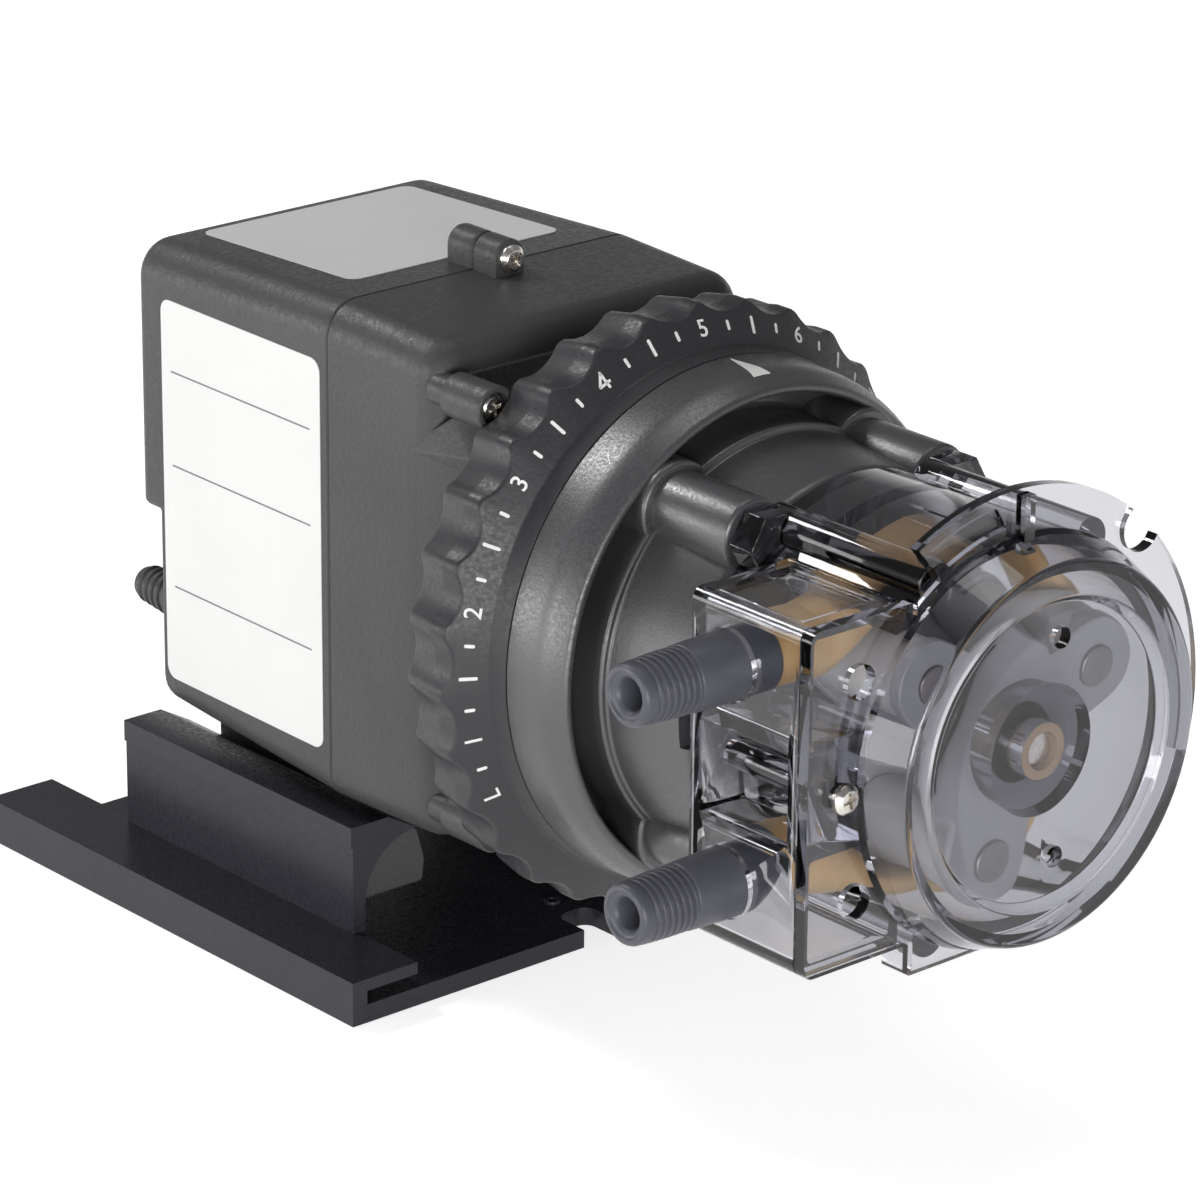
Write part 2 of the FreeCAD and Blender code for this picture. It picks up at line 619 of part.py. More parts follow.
def revolve(body, corners, axis="Y", kind="Revolution", angle=360):
    """Turn an outline of (along, radius) corners about the body's own Y or X axis."""
    plane = {"Y": "X", "X": "Y"}[axis]
    sketch = new_sketch(body, plane)
    outline(sketch, corners)
    feature = body.newObject(f"PartDesign::{kind}", unique(body.Name + "_" + kind.lower()))
    feature.Profile = sketch
    feature.ReferenceAxis = (sketch, ["H_Axis"])
    bind(feature, "Angle", angle)
    if angle != 360:
        feature.Midplane = True
    body.Tip = feature
    return feature


def around(body, feature, count, axis="Y_Axis"):
    """Repeat a feature evenly about one of the body's axes."""
    pattern = body.newObject("PartDesign::PolarPattern", unique(body.Name + "_pattern"))
    pattern.Originals = [feature]
    pattern.Axis = (origin_feature(body, axis), [""])
    pattern.Angle = 360
    bind(pattern, "Occurrences", count)
    body.Tip = pattern
    return pattern


def mirror(body, features, plane):
    """Repeat features on the other side of one of the body's planes."""
    copy = body.newObject("PartDesign::Mirrored", unique(body.Name + "_mirror"))
    copy.Originals = features
    copy.MirrorPlane = (origin_feature(body, plane), [""])
    body.Tip = copy
    return copy


def dress(body, kind, size, wanted):
    """Fillet or chamfer the edges that wanted(edge) picks, in the body's own frame."""
    doc.recompute()
    base = body.Tip
    chosen = []
    for number, edge in enumerate(base.Shape.Edges, start=1):
        if wanted(edge):
            chosen.append(f"Edge{number}")
    if not chosen:
        raise RuntimeError(f"no edges picked on {body.Name}")
    feature = body.newObject(f"PartDesign::{kind}", unique(body.Name + "_" + kind.lower()))
    feature.Base = (base, chosen)
    bind(feature, "Radius" if kind == "Fillet" else "Size", size)
    body.Tip = feature
    return feature


def middle_of(edge):
    return edge.valueAt((edge.FirstParameter + edge.LastParameter) / 2)


def loft(body, sketches, kind="AdditiveLoft"):
    feature = body.newObject(f"PartDesign::{kind}", unique(body.Name + "_loft"))
    feature.Profile = sketches[0]
    feature.Sections = sketches[1:]
    feature.Ruled = True
    body.Tip = feature
    return feature


def box_loft(body, stations, kind="AdditiveLoft"):
    """Loft between upright rectangles; a station is (back, half width, low, high, rounding)."""
    sketches = []
    for back, half_width, low, high, rounding in stations:
        sketch = new_sketch(body, "Y", back)
        outline(sketch, rectangle(-half_width, half_width, low, high, rounding))
        sketches.append(sketch)
    return loft(body, sketches, kind)


def rod(name, radius, back_low, back_high, across=0.0, up=0.0):
    """A plain cylinder along the shaft's direction."""
    piece = doc.addObject("Part::Cylinder", unique(name))
    bind(piece, "Radius", radius)
    bind(piece, "Height", as_size(back_high) - as_size(back_low))
    piece.Placement = FreeCAD.Placement(FreeCAD.Vector(), FreeCAD.Rotation(FreeCAD.Vector(1, 0, 0), -90))
    place(piece, across, back_low, up)
    return piece


def tube_of(name, outer, inner, back_low, back_high, across=0.0, up=0.0):
    """A plain ring along the shaft's direction, written out as one sub-part."""
    piece = doc.addObject("Part::Cut", name)
    piece.Base = rod(name + "_outside", outer, back_low, back_high, across, up)
    piece.Tool = rod(name + "_bore", inner, as_size(back_low) - 1, as_size(back_high) + 1, across, up)
    piece.Label = name
    parts.append(piece)
    return piece


def compound(name, pieces):
    """Several separate solids as one sub-part."""
    group = doc.addObject("Part::Compound", name)
    group.Label = name
    group.Links = pieces
    parts.append(group)
    return group


# Mounting bracket, drawn from its own underside
def make_bracket():
    body = new_body("mounting_bracket", in_shaft_frame=False)
    half = d.plate_length / 2
    wide = d.plate_half_width
    pad(body, "Y", -half, half, polygon(rectangle(-wide, wide, 0, d.plate_thick)))
    lip_low = d.channel_height - d.lip_thick
    channel = [
        (-wide, 0),
        (d.channel_wall - wide, 0),
        (d.channel_wall - wide, lip_low),
        (-d.rail_outer, lip_low),
        (-d.rail_outer, d.channel_height),
        (-wide, d.channel_height),
    ]
    edge = pad(body, "Y", -half, half + d.lip_overrun, polygon(channel))
    band_low = d.rail_top - d.rail_band
    inner = d.rail_outer - d.rail_wall
    tip_level = d.rail_top - d.rail_hook_drop
    rail = [
        (-d.rail_outer, 0),
        (-inner, 0),
        (-inner, tip_level, d.rail_hollow),
        (-d.rail_tip, tip_level),
        (-d.rail_crown, d.rail_top),
        (-d.rail_outer - d.rail_band_step, d.rail_top),
        (-d.rail_outer - d.rail_band_step, band_low),
        (-d.rail_outer, band_low),
    ]
    rail_pad = pad(body, "Y", -d.rail_front, d.rail_back, polygon(rail))
    mirror(body, [edge, rail_pad], "YZ_Plane")
    slot_left = d.latch_slot_shift - d.latch_slot_width / 2
    slot_right = d.latch_slot_shift + d.latch_slot_width / 2
    slot = rectangle(slot_left, slot_right, -half - 1, d.latch_slot_depth - half)
    pocket(body, "Z", -1, d.plate_thick + 1, polygon(slot))
    holes = []
    for side in (-1, 1):
        for end in (-1, 1):
            holes.append((side * d.wall_screw_x, end * d.wall_screw_y, d.wall_screw_radius))
    pocket(body, "Z", -1, d.plate_thick + 1, rings(*holes))


def make_foot():
    """Foot under the case, which slides into the bracket's rails."""
    body = new_body("mounting_foot")
    half = d.rail_outer - d.rail_wall - d.foot_gap
    low = d.plate_thick + d.foot_gap - d.shaft_height
    high = d.rail_top - d.rail_hook_drop - d.foot_gap - d.shaft_height
    rounding = d.rail_hollow - d.foot_gap
    corners = [
        (-half, low, 2),
        (half, low, 2),
        (half, high, rounding),
        (-half, high, rounding),
    ]
    pad(body, "Y", d.foot_front, d.foot_back, polygon(corners))
    rise = (d.foot_back - d.box_joint) * d.box_back_rise / (d.box_back - d.box_joint)
    neck = [
        (d.foot_front, high - 2),
        (d.foot_back, high - 2),
        (d.foot_back, rise - d.box_bottom - d.part_gap),
        (d.box_joint, -d.box_bottom - d.part_gap),
        (d.foot_front, -d.box_bottom - d.part_gap),
    ]
    pad(body, "X", -d.foot_neck, d.foot_neck, polygon(neck))


def box_station(back, narrowing, drop, rise, inset, rounding):
    """One rectangle of the case's outline, drawn in by a wall."""
    half = d.box_half_width - narrowing - inset
    low = rise + inset - d.box_bottom
    high = d.box_top - drop - inset
    return (back, half, low, high, rounding)


def upright_end(edge, level):
    """True for the edges round the case's face at a given y."""
    return all(abs(vertex.Y - level) < 0.01 for vertex in edge.Vertexes)


def make_gear_case():
    """Front half of the case, with the flange that the dial turns against."""
    body = new_body("gear_case_front")
    joint = d.box_joint - d.gasket_thick / 2
    outer = [
        box_station(joint, 0, 0, 0, 0, d.box_round),
        box_station(d.box_front, d.box_front_narrowing, d.box_front_drop, d.box_front_rise, 0, d.box_round),
    ]
    box_loft(body, outer)
    front = d.box_front.value
    dress(body, "Fillet", d.box_end_round, lambda edge: upright_end(edge, front))
    fairing = [
        (d.flange_front, 0),
        (d.flange_front, d.flange_radius, 1),
        (d.flange_back, d.flange_radius, 1),
        (d.fairing_back, d.fairing_end_radius),
        (d.fairing_back, 0),
    ]
    revolve(body, fairing)
    levels = (d.corner_boss_top, -d.corner_boss_low)
    bosses = []
    for side in (-1, 1):
        for level in levels:
            bosses.append((side * d.corner_boss_x, level, d.corner_boss_radius))
    pad(body, "Y", d.corner_boss_front, d.box_front + d.corner_boss_root, rings(*bosses))
    outside = d.corner_boss_x + d.corner_boss_radius - 0.1
    gussets = []
    for up in (1, -1):
        level = levels[0] if up > 0 else -levels[1]
        slope = [
            (d.corner_boss_front + 1, up * (level - d.gusset_drop)),
            (d.gusset_back, up * (level - d.gusset_drop)),
            (d.box_front, up * (level - d.gusset_shoulder)),
            (d.corner_boss_front + 1, up * level),
        ]
        gussets.append(pad(body, "X", -outside, -d.box_half_width + d.box_round, polygon(slope)))
    mirror(body, gussets, "YZ_Plane")
    pad(body, "Y", d.top_boss_front, joint, polygon(top_boss()))
    cavity_round = d.box_round - d.case_wall
    room = box_station(joint, 0, 0, 0, d.case_wall, cavity_round)
    narrow = d.box_front_narrowing
    drop = d.box_front_drop
    rise = d.box_front_rise
    front_room = box_station(d.gear_room_front, narrow, drop, rise, d.case_wall, cavity_round)
    box_loft(body, [room, front_room], "SubtractiveLoft")
    pocket(body, "Y", d.hub_recess_front, d.gear_room_front, rings((0, 0, d.hub_recess_radius)))
    bore = d.bearing_radius + d.run_gap
    pocket(body, "Y", d.flange_front - 1, d.hub_recess_front, rings((0, 0, bore)))
    screws = []
    for across, up, radius in bosses:
        screws.append((across, up, d.screw_radius + d.run_gap))
    seat = d.corner_boss_front + d.corner_sink_depth
    hole_end = seat + d.corner_screw_length + d.screw_room
    pocket(body, "Y", d.corner_boss_front - 1, hole_end, rings(*screws))
    sinks = []
    for across, up, radius in bosses:
        sinks.append((across, up, d.corner_sink_radius))
    pocket(body, "Y", d.corner_boss_front - 1, seat, rings(*sinks))
    hole = rings((0, d.top_boss_centre, d.screw_radius + d.run_gap))
    pocket(body, "Y", d.top_boss_front - 1, joint + 1, hole)
    holes = bell_screw_spots(d.bell_screw_radius + 4 * d.run_gap)
    pocket(body, "Y", d.flange_front - 1, d.gear_room_front + 1, rings(*holes))


def top_boss():
    """Corners of the screw boss on top of the case."""
    wide = d.top_boss_radius
    low = d.box_top - d.boss_sink_in
    high = d.top_boss_centre + wide
    return [(-wide, low), (wide, low), (wide, high, d.top_boss_round), (-wide, high, d.top_boss_round)]


def bell_screw_spots(radius):
    """Circles (across, up, radius) at the four bell screws."""
    middle = d.dial_bearing_radius - d.spigot_wall / 2
    spots = []
    for side in (-1, 1):
        for end in (-1, 1):
            across = side * middle * cosine(d.bell_screw_angle)
            up = end * middle * sine(d.bell_screw_angle)
            spots.append((across, up, radius))
    return spots


def make_motor_case():
    """Rear half of the case, with the step in its rear face."""
    body = new_body("motor_case_rear")
    joint = d.box_joint + d.gasket_thick / 2
    narrow = d.box_back_narrowing
    rise = d.box_back_rise
    outer = [
        box_station(joint, 0, 0, 0, 0, d.box_round),
        box_station(d.box_back, narrow, d.box_back_drop, rise, 0, d.box_round),
    ]
    box_loft(body, outer)
    cut = [
        (d.box_back - d.step_depth, -d.box_bottom - 5),
        (d.box_back + 5, -d.box_bottom - 5),
        (d.box_back + 5, -d.step_level),
        (d.box_back - d.step_depth, -d.step_level),
    ]
    pocket(body, "X", -d.box_half_width - 1, d.box_half_width + 1, polygon(cut))
    rear = d.box_back.value
    lower = (d.box_back - d.step_depth).value
    level = -d.step_level.value

    def rear_rim(edge):
        middle = middle_of(edge)
        on_rear = upright_end(edge, rear)
        on_lower = upright_end(edge, lower) and middle.z < level - 0.5
        return on_rear or on_lower

    dress(body, "Fillet", d.rear_rim_round, rear_rim)
    pad(body, "Y", joint, d.top_boss_back, polygon(top_boss()))
    room_back = d.box_back - d.step_depth - d.case_wall
    inner_round = d.box_round - d.case_wall
    room = [
        box_station(joint, 0, 0, 0, d.case_wall, inner_round),
        box_station(room_back, narrow, d.box_back_drop, rise, d.case_wall, inner_round),
    ]
    box_loft(body, room, "SubtractiveLoft")
    hole = rings((0, d.top_boss_centre, d.screw_radius + d.run_gap))
    pocket(body, "Y", joint - 1, d.top_boss_back - 2, hole)
    gland = rings((-d.gland_x, -d.gland_drop, d.gland_root_radius + d.run_gap))
    pocket(body, "Y", room_back - 1, d.box_back - d.step_depth + 1, gland)


def make_gasket():
    body = new_body("case_gasket")
    thick = d.gasket_thick
    outer = box_station(0, 0, 0, 0, d.gasket_inset, d.box_round - d.gasket_inset)
    inner = box_station(0, 0, 0, 0, d.case_wall, d.box_round - d.case_wall)
    low = d.box_joint - thick / 2
    pad(body, "Y", low, low + thick, polygon(rectangle(-outer[1], *outer[1:])))
    pocket(body, "Y", low, low + thick, polygon(rectangle(-inner[1], *inner[1:])))


def screw_body(name, length):
    """One pan head screw that points back along +Y, its head's seat at y = 0."""
    head_radius = d.screw_head_radius
    head_height = d.screw_head_height
    shank_radius = d.screw_radius
    body = doc.addObject("PartDesign::Body", unique(name))
    corners = [
        (-head_height, 0),
        (-head_height, head_radius * 0.7, head_radius * 0.25),
        (-head_height * 0.45, head_radius, head_radius * 0.3),
        (0, head_radius),
        (0, shank_radius),
        (length, shank_radius),
        (length, 0),
    ]
    revolve(body, corners)
    reach = head_radius * 0.62
    slim = head_radius * 0.13
    for long_way, short_way in ((reach, slim), (slim, reach)):
        cross = rectangle(-long_way, long_way, -short_way, short_way)
        pocket(body, "Y", -head_height - 1, -head_height * 0.35, polygon(cross))
    return body


def screw_group(name, body, spots):
    """Copies of one screw at (across, back, up), as one sub-part."""
    links = []
    for across, back, up in spots:
        link = doc.addObject("App::Link", unique(name))
        link.LinkedObject = body
        place(link, across, back, up)
        links.append(link)
    return compound(name, links)


def make_case_screws():
    corner = screw_body("corner_screw", d.corner_screw_length)
    spots = []
    for side in (-1, 1):
        for level in (d.corner_boss_top, -d.corner_boss_low):
            spots.append((side * d.corner_boss_x, d.corner_boss_front + d.corner_sink_depth, level))
    screw_group("corner_screws", corner, spots)
    top = screw_body("top_screw", d.top_screw_length)
    screw_group("top_screw", top, [(0, d.top_boss_front, d.top_boss_centre)])


def make_gland():
    """Strain relief where the supply cord would leave."""
    body = new_body("cord_gland", across=-d.gland_x, up=-d.gland_drop)
    seat = d.box_back - d.step_depth
    flange_end = seat + d.gland_flange_thick
    corners = [
        (seat - d.case_wall, d.gland_bore),
        (seat - d.case_wall, d.gland_root_radius),
        (seat, d.gland_root_radius),
        (seat, d.gland_flange_radius),
        (flange_end, d.gland_flange_radius, 0.8),
        (flange_end, d.gland_radius),
        (seat + d.gland_length, d.gland_end_radius, 1.4),
        (seat + d.gland_length, d.gland_bore),
    ]
    revolve(body, corners)


# Feed rate dial and the cams behind it
def make_dial():
    body = new_body("dial_ring")
    bore = d.dial_bearing_radius + d.slip_gap
    spare = d.scallop_spare
    slope = (d.dial_face_out - d.dial_face_in) / (d.dial_radius - d.dial_face_in_radius)
    corners = [
        (d.part_gap, bore),
        (d.part_gap, d.dial_front_radius),
        (d.dial_face_in, d.dial_face_in_radius),
        (d.dial_face_out + spare * slope, d.dial_radius + spare),
        (d.dial_face_out + d.dial_rim_width, d.dial_radius + spare),
        (d.dial_back, d.dial_back_radius, 1),
        (d.dial_back, bore),
    ]
    revolve(body, corners)
    scallop = pocket(body, "Y", -1, d.dial_back + 1, scallop_outline)
    bind(scallop.Profile[0], "AttachmentOffset.Rotation.Angle", d.scallop_turn)
    around(body, scallop, d.scallop_count)
    cam_outer = d.dial_bearing_radius - d.spigot_wall - d.slip_gap
    half = d.tab_half_width
    tab = rectangle(-half, half, cam_outer, bore + 2)
    pad(body, "Y", d.tab_front, d.tab_back, polygon(tab))


def scallop_outline(sketch):
    """One finger scallop, from the middle of one rounded crest to the middle of the next."""
    crest = d.dial_radius
    edge = d.scallop_edge
    valley = crest - d.scallop_depth
    half_pitch = 180 / d.scallop_count
    side = (crest - edge) * sine(half_pitch)
    level = (crest - edge) * cosine(half_pitch)
    rise = valley - level
    hollow = (side * side + rise * rise - edge * edge) / (2 * (edge - rise))
    middle = valley + hollow
    end_x = crest * sine(half_pitch)
    end_y = crest * cosine(half_pitch)
    spare = 1.03  # the cut closes this much further out than the crest
    normal = FreeCAD.Vector(0, 0, 1)
    hollow_circle = Part.Circle(FreeCAD.Vector(0, middle.value, 0), normal, hollow.value)
    touch = math.atan2(level.value - middle.value, side.value)
    bottom = sketch.addGeometry(Part.ArcOfCircle(hollow_circle, -math.pi - touch, touch), False)
    hold(sketch, "DistanceX", -1, 1, bottom, 3, 0)
    hold(sketch, "DistanceY", -1, 1, bottom, 3, middle)
    hold(sketch, "Radius", bottom, hollow)
    outer_ends = []
    for sign, arc_touch, arc_end in ((1, 2, 1), (-1, 1, 2)):
        centre = FreeCAD.Vector(sign * side.value, level.value, 0)
        top = math.radians(90 - sign * half_pitch.value)
        inward = math.atan2(middle.value - level.value, -sign * side.value)
        low, high = sorted((top, inward))
        arc = sketch.addGeometry(Part.ArcOfCircle(Part.Circle(centre, normal, edge.value), low, high), False)
        sketch.addConstraint(Sketcher.Constraint("Tangent", bottom, 2 if sign > 0 else 1, arc, arc_touch))
        hold(sketch, "Radius", arc, edge)
        hold(sketch, "DistanceX", -1, 1, arc, 3, sign * side)
        hold(sketch, "DistanceX", -1, 1, arc, arc_end, sign * end_x)
        start = FreeCAD.Vector(sign * end_x.value, end_y.value, 0)
        line = sketch.addGeometry(Part.LineSegment(start, start * spare), False)
        sketch.addConstraint(Sketcher.Constraint("Coincident", line, 1, arc, arc_end))
        hold(sketch, "DistanceX", -1, 1, line, 2, sign * end_x * spare)
        hold(sketch, "DistanceY", -1, 1, line, 2, end_y * spare)
        outer_ends.append((line, start * spare))
    (right, right_end), (left, left_end) = outer_ends
    closing = sketch.addGeometry(Part.LineSegment(right_end, left_end), False)
    sketch.addConstraint(Sketcher.Constraint("Coincident", closing, 1, right, 2))
    sketch.addConstraint(Sketcher.Constraint("Coincident", closing, 2, left, 2))


def make_cams():
    """Cam that turns with the dial, and the fixed cam inside it; each has a notch in its front face."""
    outer = d.dial_bearing_radius - d.spigot_wall - d.slip_gap
    parting = d.cam_parting
    for name, inner, rim, back in (
        ("variable_cam", parting - d.slip_gap, outer, d.tab_back + d.variable_cam_overrun),
        ("fixed_cam", parting - d.fixed_cam_width, parting - 2 * d.slip_gap, d.flange_front),
    ):
        body = new_body(name)
        ring = [(d.cam_front, inner), (d.cam_front, rim), (back, rim), (back, inner)]
        revolve(body, ring)
        notch = rectangle(inner - 1, rim + 1, -d.cam_notch / 2, d.cam_notch / 2)
        pocket(body, "Y", d.cam_front - 1, d.cam_front + d.cam_notch_depth, polygon(notch))


def make_bell():
    body = new_body("bell_housing")
    spigot = d.dial_bearing_radius
    bore = d.bearing_radius + d.run_gap
    boss = d.bearing_radius + d.boss_wall
    inner_front = d.hub_front - d.hub_wall
    corners = [
        (d.flange_front, spigot),
        (-d.part_gap, spigot),
        (-d.part_gap, d.dial_front_radius),
        (-d.bell_waist, d.dial_front_radius - d.bell_waist_step, d.bell_waist_round),
        (-d.bell_front, d.bell_rim_radius, 1.2),
        (-d.bell_front + 0.4, d.groove_outer_radius + 0.3, 0.6),
        (-d.groove_floor, d.groove_outer_radius, 2),
        (-d.groove_floor, d.hub_base_radius, 1.5),
        (-d.hub_step_front, d.hub_step_radius, 0.7),
        (-d.hub_step_front, d.hub_root_radius),
        (-d.hub_front, d.hub_front_radius, 2.5),
        (-d.hub_front, bore),
        (-d.hub_front + d.bearing_length + 1, bore),
        (-d.hub_front + d.bearing_length + 1, boss),
        (-inner_front, boss),
        (-inner_front, d.hub_front_radius - d.hub_wall, 2),
        (-1, d.hub_root_radius - d.hub_wall),
        (2.5, spigot - d.spigot_wall),
        (d.flange_front, spigot - d.spigot_wall),
    ]
    revolve(body, corners)
    slot_edge = spigot - d.spigot_wall - 1
    slot = [
        (d.tab_front - d.slip_gap, slot_edge),
        (d.tab_back + d.slip_gap, slot_edge),
        (d.tab_back + d.slip_gap, spigot + 0.5),
        (d.tab_front - d.slip_gap, spigot + 0.5),
    ]
    revolve(body, slot, kind="Groove", angle=d.spigot_slot_angle)
    posts = []
    roots = []
    holes = []
    for side in (-1, 1):
        for end in (-1, 1):
            posts.append((side * d.post_x, end * d.post_z, d.post_radius))
            roots.append((side * d.post_x, end * d.post_z, d.post_root_radius))
            holes.append((side * d.post_x, end * d.post_z, d.tower_bore))
    pad(body, "Y", -d.hub_front, -d.post_back, rings(*posts))
    pad(body, "Y", -d.hub_step_front, -d.post_back, rings(*roots))
    pocket(body, "Y", -d.hub_front - 1, -d.hub_front + d.post_hole_depth, rings(*holes))
    screw_holes = bell_screw_spots(d.bell_screw_radius + d.run_gap)
    hole_end = d.flange_front - d.bell_screw_grip - d.screw_room
    pocket(body, "Y", hole_end, d.flange_front + 1, rings(*screw_holes))


def make_bell_screws():
    """Screws from inside the gear case into the end of the bell's spigot."""
    tip = d.flange_front - d.bell_screw_grip
    seat = d.gear_room_front
    screws = []
    for across, up, radius in bell_screw_spots(d.bell_screw_radius):
        shank = rod("bell_screw_shank", radius, tip, seat, across, up)
        head = rod(
            "bell_screw_head", d.bell_screw_head_radius, seat, seat + d.bell_screw_head_height, across, up
        )
        screw = doc.addObject("Part::Fuse", unique("bell_screw"))
        screw.Base = shank
        screw.Tool = head
        screws.append(screw)
    compound("bell_screws", screws)


# Clear tube housing and cover
def make_housing():
    body = new_body("tube_housing")
    bore = d.bearing_radius + d.run_gap
    inner = d.drum_radius - d.drum_wall
    corners = [
        (-d.housing_back, bore),
        (-d.housing_back, d.drum_radius, 0.6),
        (-d.housing_front, d.drum_radius, 0.6),
        (-d.housing_front, d.track_radius),
        (-d.web_front, d.track_radius),
        (-d.web_front, bore),
        (-d.web_back, bore),
        (-d.web_back, inner),
        (-d.housing_back - d.housing_plate, inner),
        (-d.housing_back - d.housing_plate, bore),
    ]
    revolve(body, corners)
    tall = d.block_half_height
    block = rectangle(-d.block_left, -d.block_right, -tall, tall, d.block_round)
    pad(body, "Y", -d.housing_front, -d.block_back, polygon(block))
    caps = []
    towers = []
    bores = []
    for side in (-1, 1):
        for end in (-1, 1):
            caps.append(hexagon(side * d.post_x, end * d.post_z, d.post_cap_radius))
            towers.append((side * d.tower_x, end * d.tower_z, d.tower_radius))
            bores.append((side * d.tower_x, end * d.tower_z, d.tower_bore))
    for cap in caps:
        pad(body, "Y", -d.post_cap_front, -d.housing_back, polygon(cap))
    pad(body, "Y", -d.housing_front, -d.housing_back - 1, rings(*towers))
    clear_room(body)
    for end in (-1, 1):
        wall = d.block_wall
        low, high = sorted_pair(end * d.cell_low, end * (tall - wall))
        cell = rectangle(-d.block_left + wall, -d.block_right - wall, low, high, d.cell_round)
        pocket(body, "Y", -d.housing_front - 1, -d.block_back - wall, polygon(cell))
        tube_reach = d.tube_end_radius + d.slip_gap
        passage = [
            (-d.barb_end, end * (d.fitting_z + tube_reach)),
            (d.track_radius * cosine(d.tube_turn), end * d.track_radius * sine(d.tube_turn)),
            (-d.track_radius / 2, end * d.track_radius / 2),
            (-d.barb_end, end * (d.fitting_z - tube_reach)),
        ]
        pocket(body, "Y", -d.housing_front - 1, -d.block_back - wall, polygon(passage))
        way = rings((-d.tube_plane, end * d.fitting_z, d.neck_radius + d.slip_gap))
        pocket(body, "X", -d.block_left - 1, -d.block_left + wall + 1, way)
    bay_front = -d.housing_front + d.block_wall
    bay_back = -d.block_back - d.block_wall
    bay = rectangle(bay_front, bay_back, -d.bay_half_height, d.bay_half_height)
    pocket(body, "X", -d.block_left - 1, -d.block_left + d.bay_depth, polygon(bay))
    rim = d.block_frame
    left = -d.block_left + rim
    right = -d.block_right - rim
    panel = rectangle(left, right, -d.housing_front + rim, -d.block_back - rim, 0.8)
    pocket(body, "Z", tall - d.block_sink, tall + 1, polygon(panel))
    pocket(body, "Z", -tall - 1, -tall + d.block_sink, polygon(panel))
    boss = rings((-d.head_screw_x, 0, d.head_screw_boss))
    pad(body, "Y", -d.housing_front, bay_back + 0.5, boss)
    hole = rings((-d.head_screw_x, 0, d.screw_radius + d.run_gap))
    hole_end = -d.housing_front + d.head_screw_length + d.screw_room
    pocket(body, "Y", -d.housing_front - 1, hole_end, hole)
    pocket(body, "Y", -d.housing_front - 1, -d.housing_back - d.tower_floor, rings(*bores))


def hexagon(across, up, radius):
    """Corners of a hexagon with two corners level with its middle."""
    corners = []
    for index in range(6):
        corners.append((across + radius * cosine(60 * index), up + radius * sine(60 * index)))
    return corners


def sorted_pair(one, other):
    return (one, other) if one.value < other.value else (other, one)


def clear_room(body):
    """Cut the roller room again where block and towers ran into it."""
    room = rings((0, 0, d.track_radius))
    pocket(body, "Y", -d.housing_front - 1, -d.web_front, room)


def make_cover():
    body = new_body("tube_cover")
    back = d.housing_front + d.cover_gap
    wall = d.cover_wall
    floor = d.cover_recess_floor
    bore = d.bushing_radius + d.run_gap
    room = floor - wall
    corners = [
        (-back, d.cover_base_radius - wall),
        (-back, d.cover_base_radius),
        (-back - d.cover_plate, d.cover_base_radius),
        (-d.cover_front, d.cover_rim_radius, 1.2),
        (-d.cover_front, d.cover_recess_radius + 1, 0.6),
        (-floor, d.cover_recess_radius - 0.6),
        (-floor, 0),
        (-floor + d.cover_recess_thick, 0),
        (-floor + d.cover_recess_thick, bore),
        (-d.cover_boss_back, bore),
        (-d.cover_boss_back, d.cover_boss_radius - 1),
        (-room, d.cover_boss_radius),
        (-room, d.cover_recess_radius - 3),
        (-d.cover_front + wall, d.cover_recess_radius + 1.5),
        (-d.cover_front + wall, d.cover_rim_radius - wall),
        (-back - d.cover_plate, d.cover_base_radius - wall),
    ]
    revolve(body, corners)
    tall = d.block_half_height
    plate = rectangle(-d.block_left, -d.tail_left, -tall, tall, d.block_round)
    pad(body, "Y", -back - d.cover_plate, -back, polygon(plate))
    wing(body, back)
    under = [
        (-d.tail_left, -d.tail_low, 0.6),
        (0, -d.tail_low),
        (0, 3 - tall),
        (-d.tail_left, 3 - tall),
    ]
    pad(body, "Y", -back - d.cover_plate, -back, polygon(under))
    rib = rectangle(-d.tail_left, d.tail_rib_thick - d.tail_left, -d.tail_low, -d.tail_top, 0.6)
    pad(body, "Y", -back - d.cover_plate, -d.tail_rib_back, polygon(rib))
    opening = d.cover_base_radius - wall
    pocket(body, "Y", -back - d.cover_plate - 0.01, -back + 1, rings((0, 0, opening)))
    holes = []
    for end in (-1, 1):
        holes.append((d.cover_hole_x, end * d.cover_hole_z, d.cover_hole_radius))
    pocket(body, "Y", -floor - 1, -room + 1, rings(*holes))
    screw = rings((-d.head_screw_x, 0, d.screw_radius + d.run_gap))
    pocket(body, "Y", -back - d.cover_plate - 1, -back + 1, screw)
    peeps = rings((-d.peep_x, d.peep_z, d.peep_radius), (-d.peep_x, -d.peep_z, d.peep_radius))
    pocket(body, "Y", -back - d.cover_plate - 1, -back + 1, peeps)


def wing(body, back):
    """Flange sector that stands out past the drum, with its sunk window, rib and finger notch."""
    front = -back - d.cover_plate
    across = d.wing_x
    up = d.wing_z
    shape = sector(d.cover_base_radius - 1, d.cover_wing_radius, d.wing_start, d.wing_end, across, up)
    pad(body, "Y", front, -back, shape)
    low = d.wing_window_low
    high = d.wing_window_high
    window = sector(low, high, d.wing_window_start, d.wing_window_end, across, up)
    pocket(body, "Y", front - 1, front + d.wing_window_depth, window)
    rib = rectangle(
        -d.wing_rib_x - d.wing_rib_thick / 2,
        -d.wing_rib_x + d.wing_rib_thick / 2,
        d.cover_rim_radius - 1,
        high + 1,
    )
    pad(body, "Y", front - d.wing_rib_high, front + 1, polygon(rib))
    bite = (d.wing_bite_circle * cosine(d.wing_bite_angle), d.wing_bite_circle * sine(d.wing_bite_angle))
    pocket(body, "Y", front - 1, -back + 1, rings(bite + (d.wing_bite_radius,)))


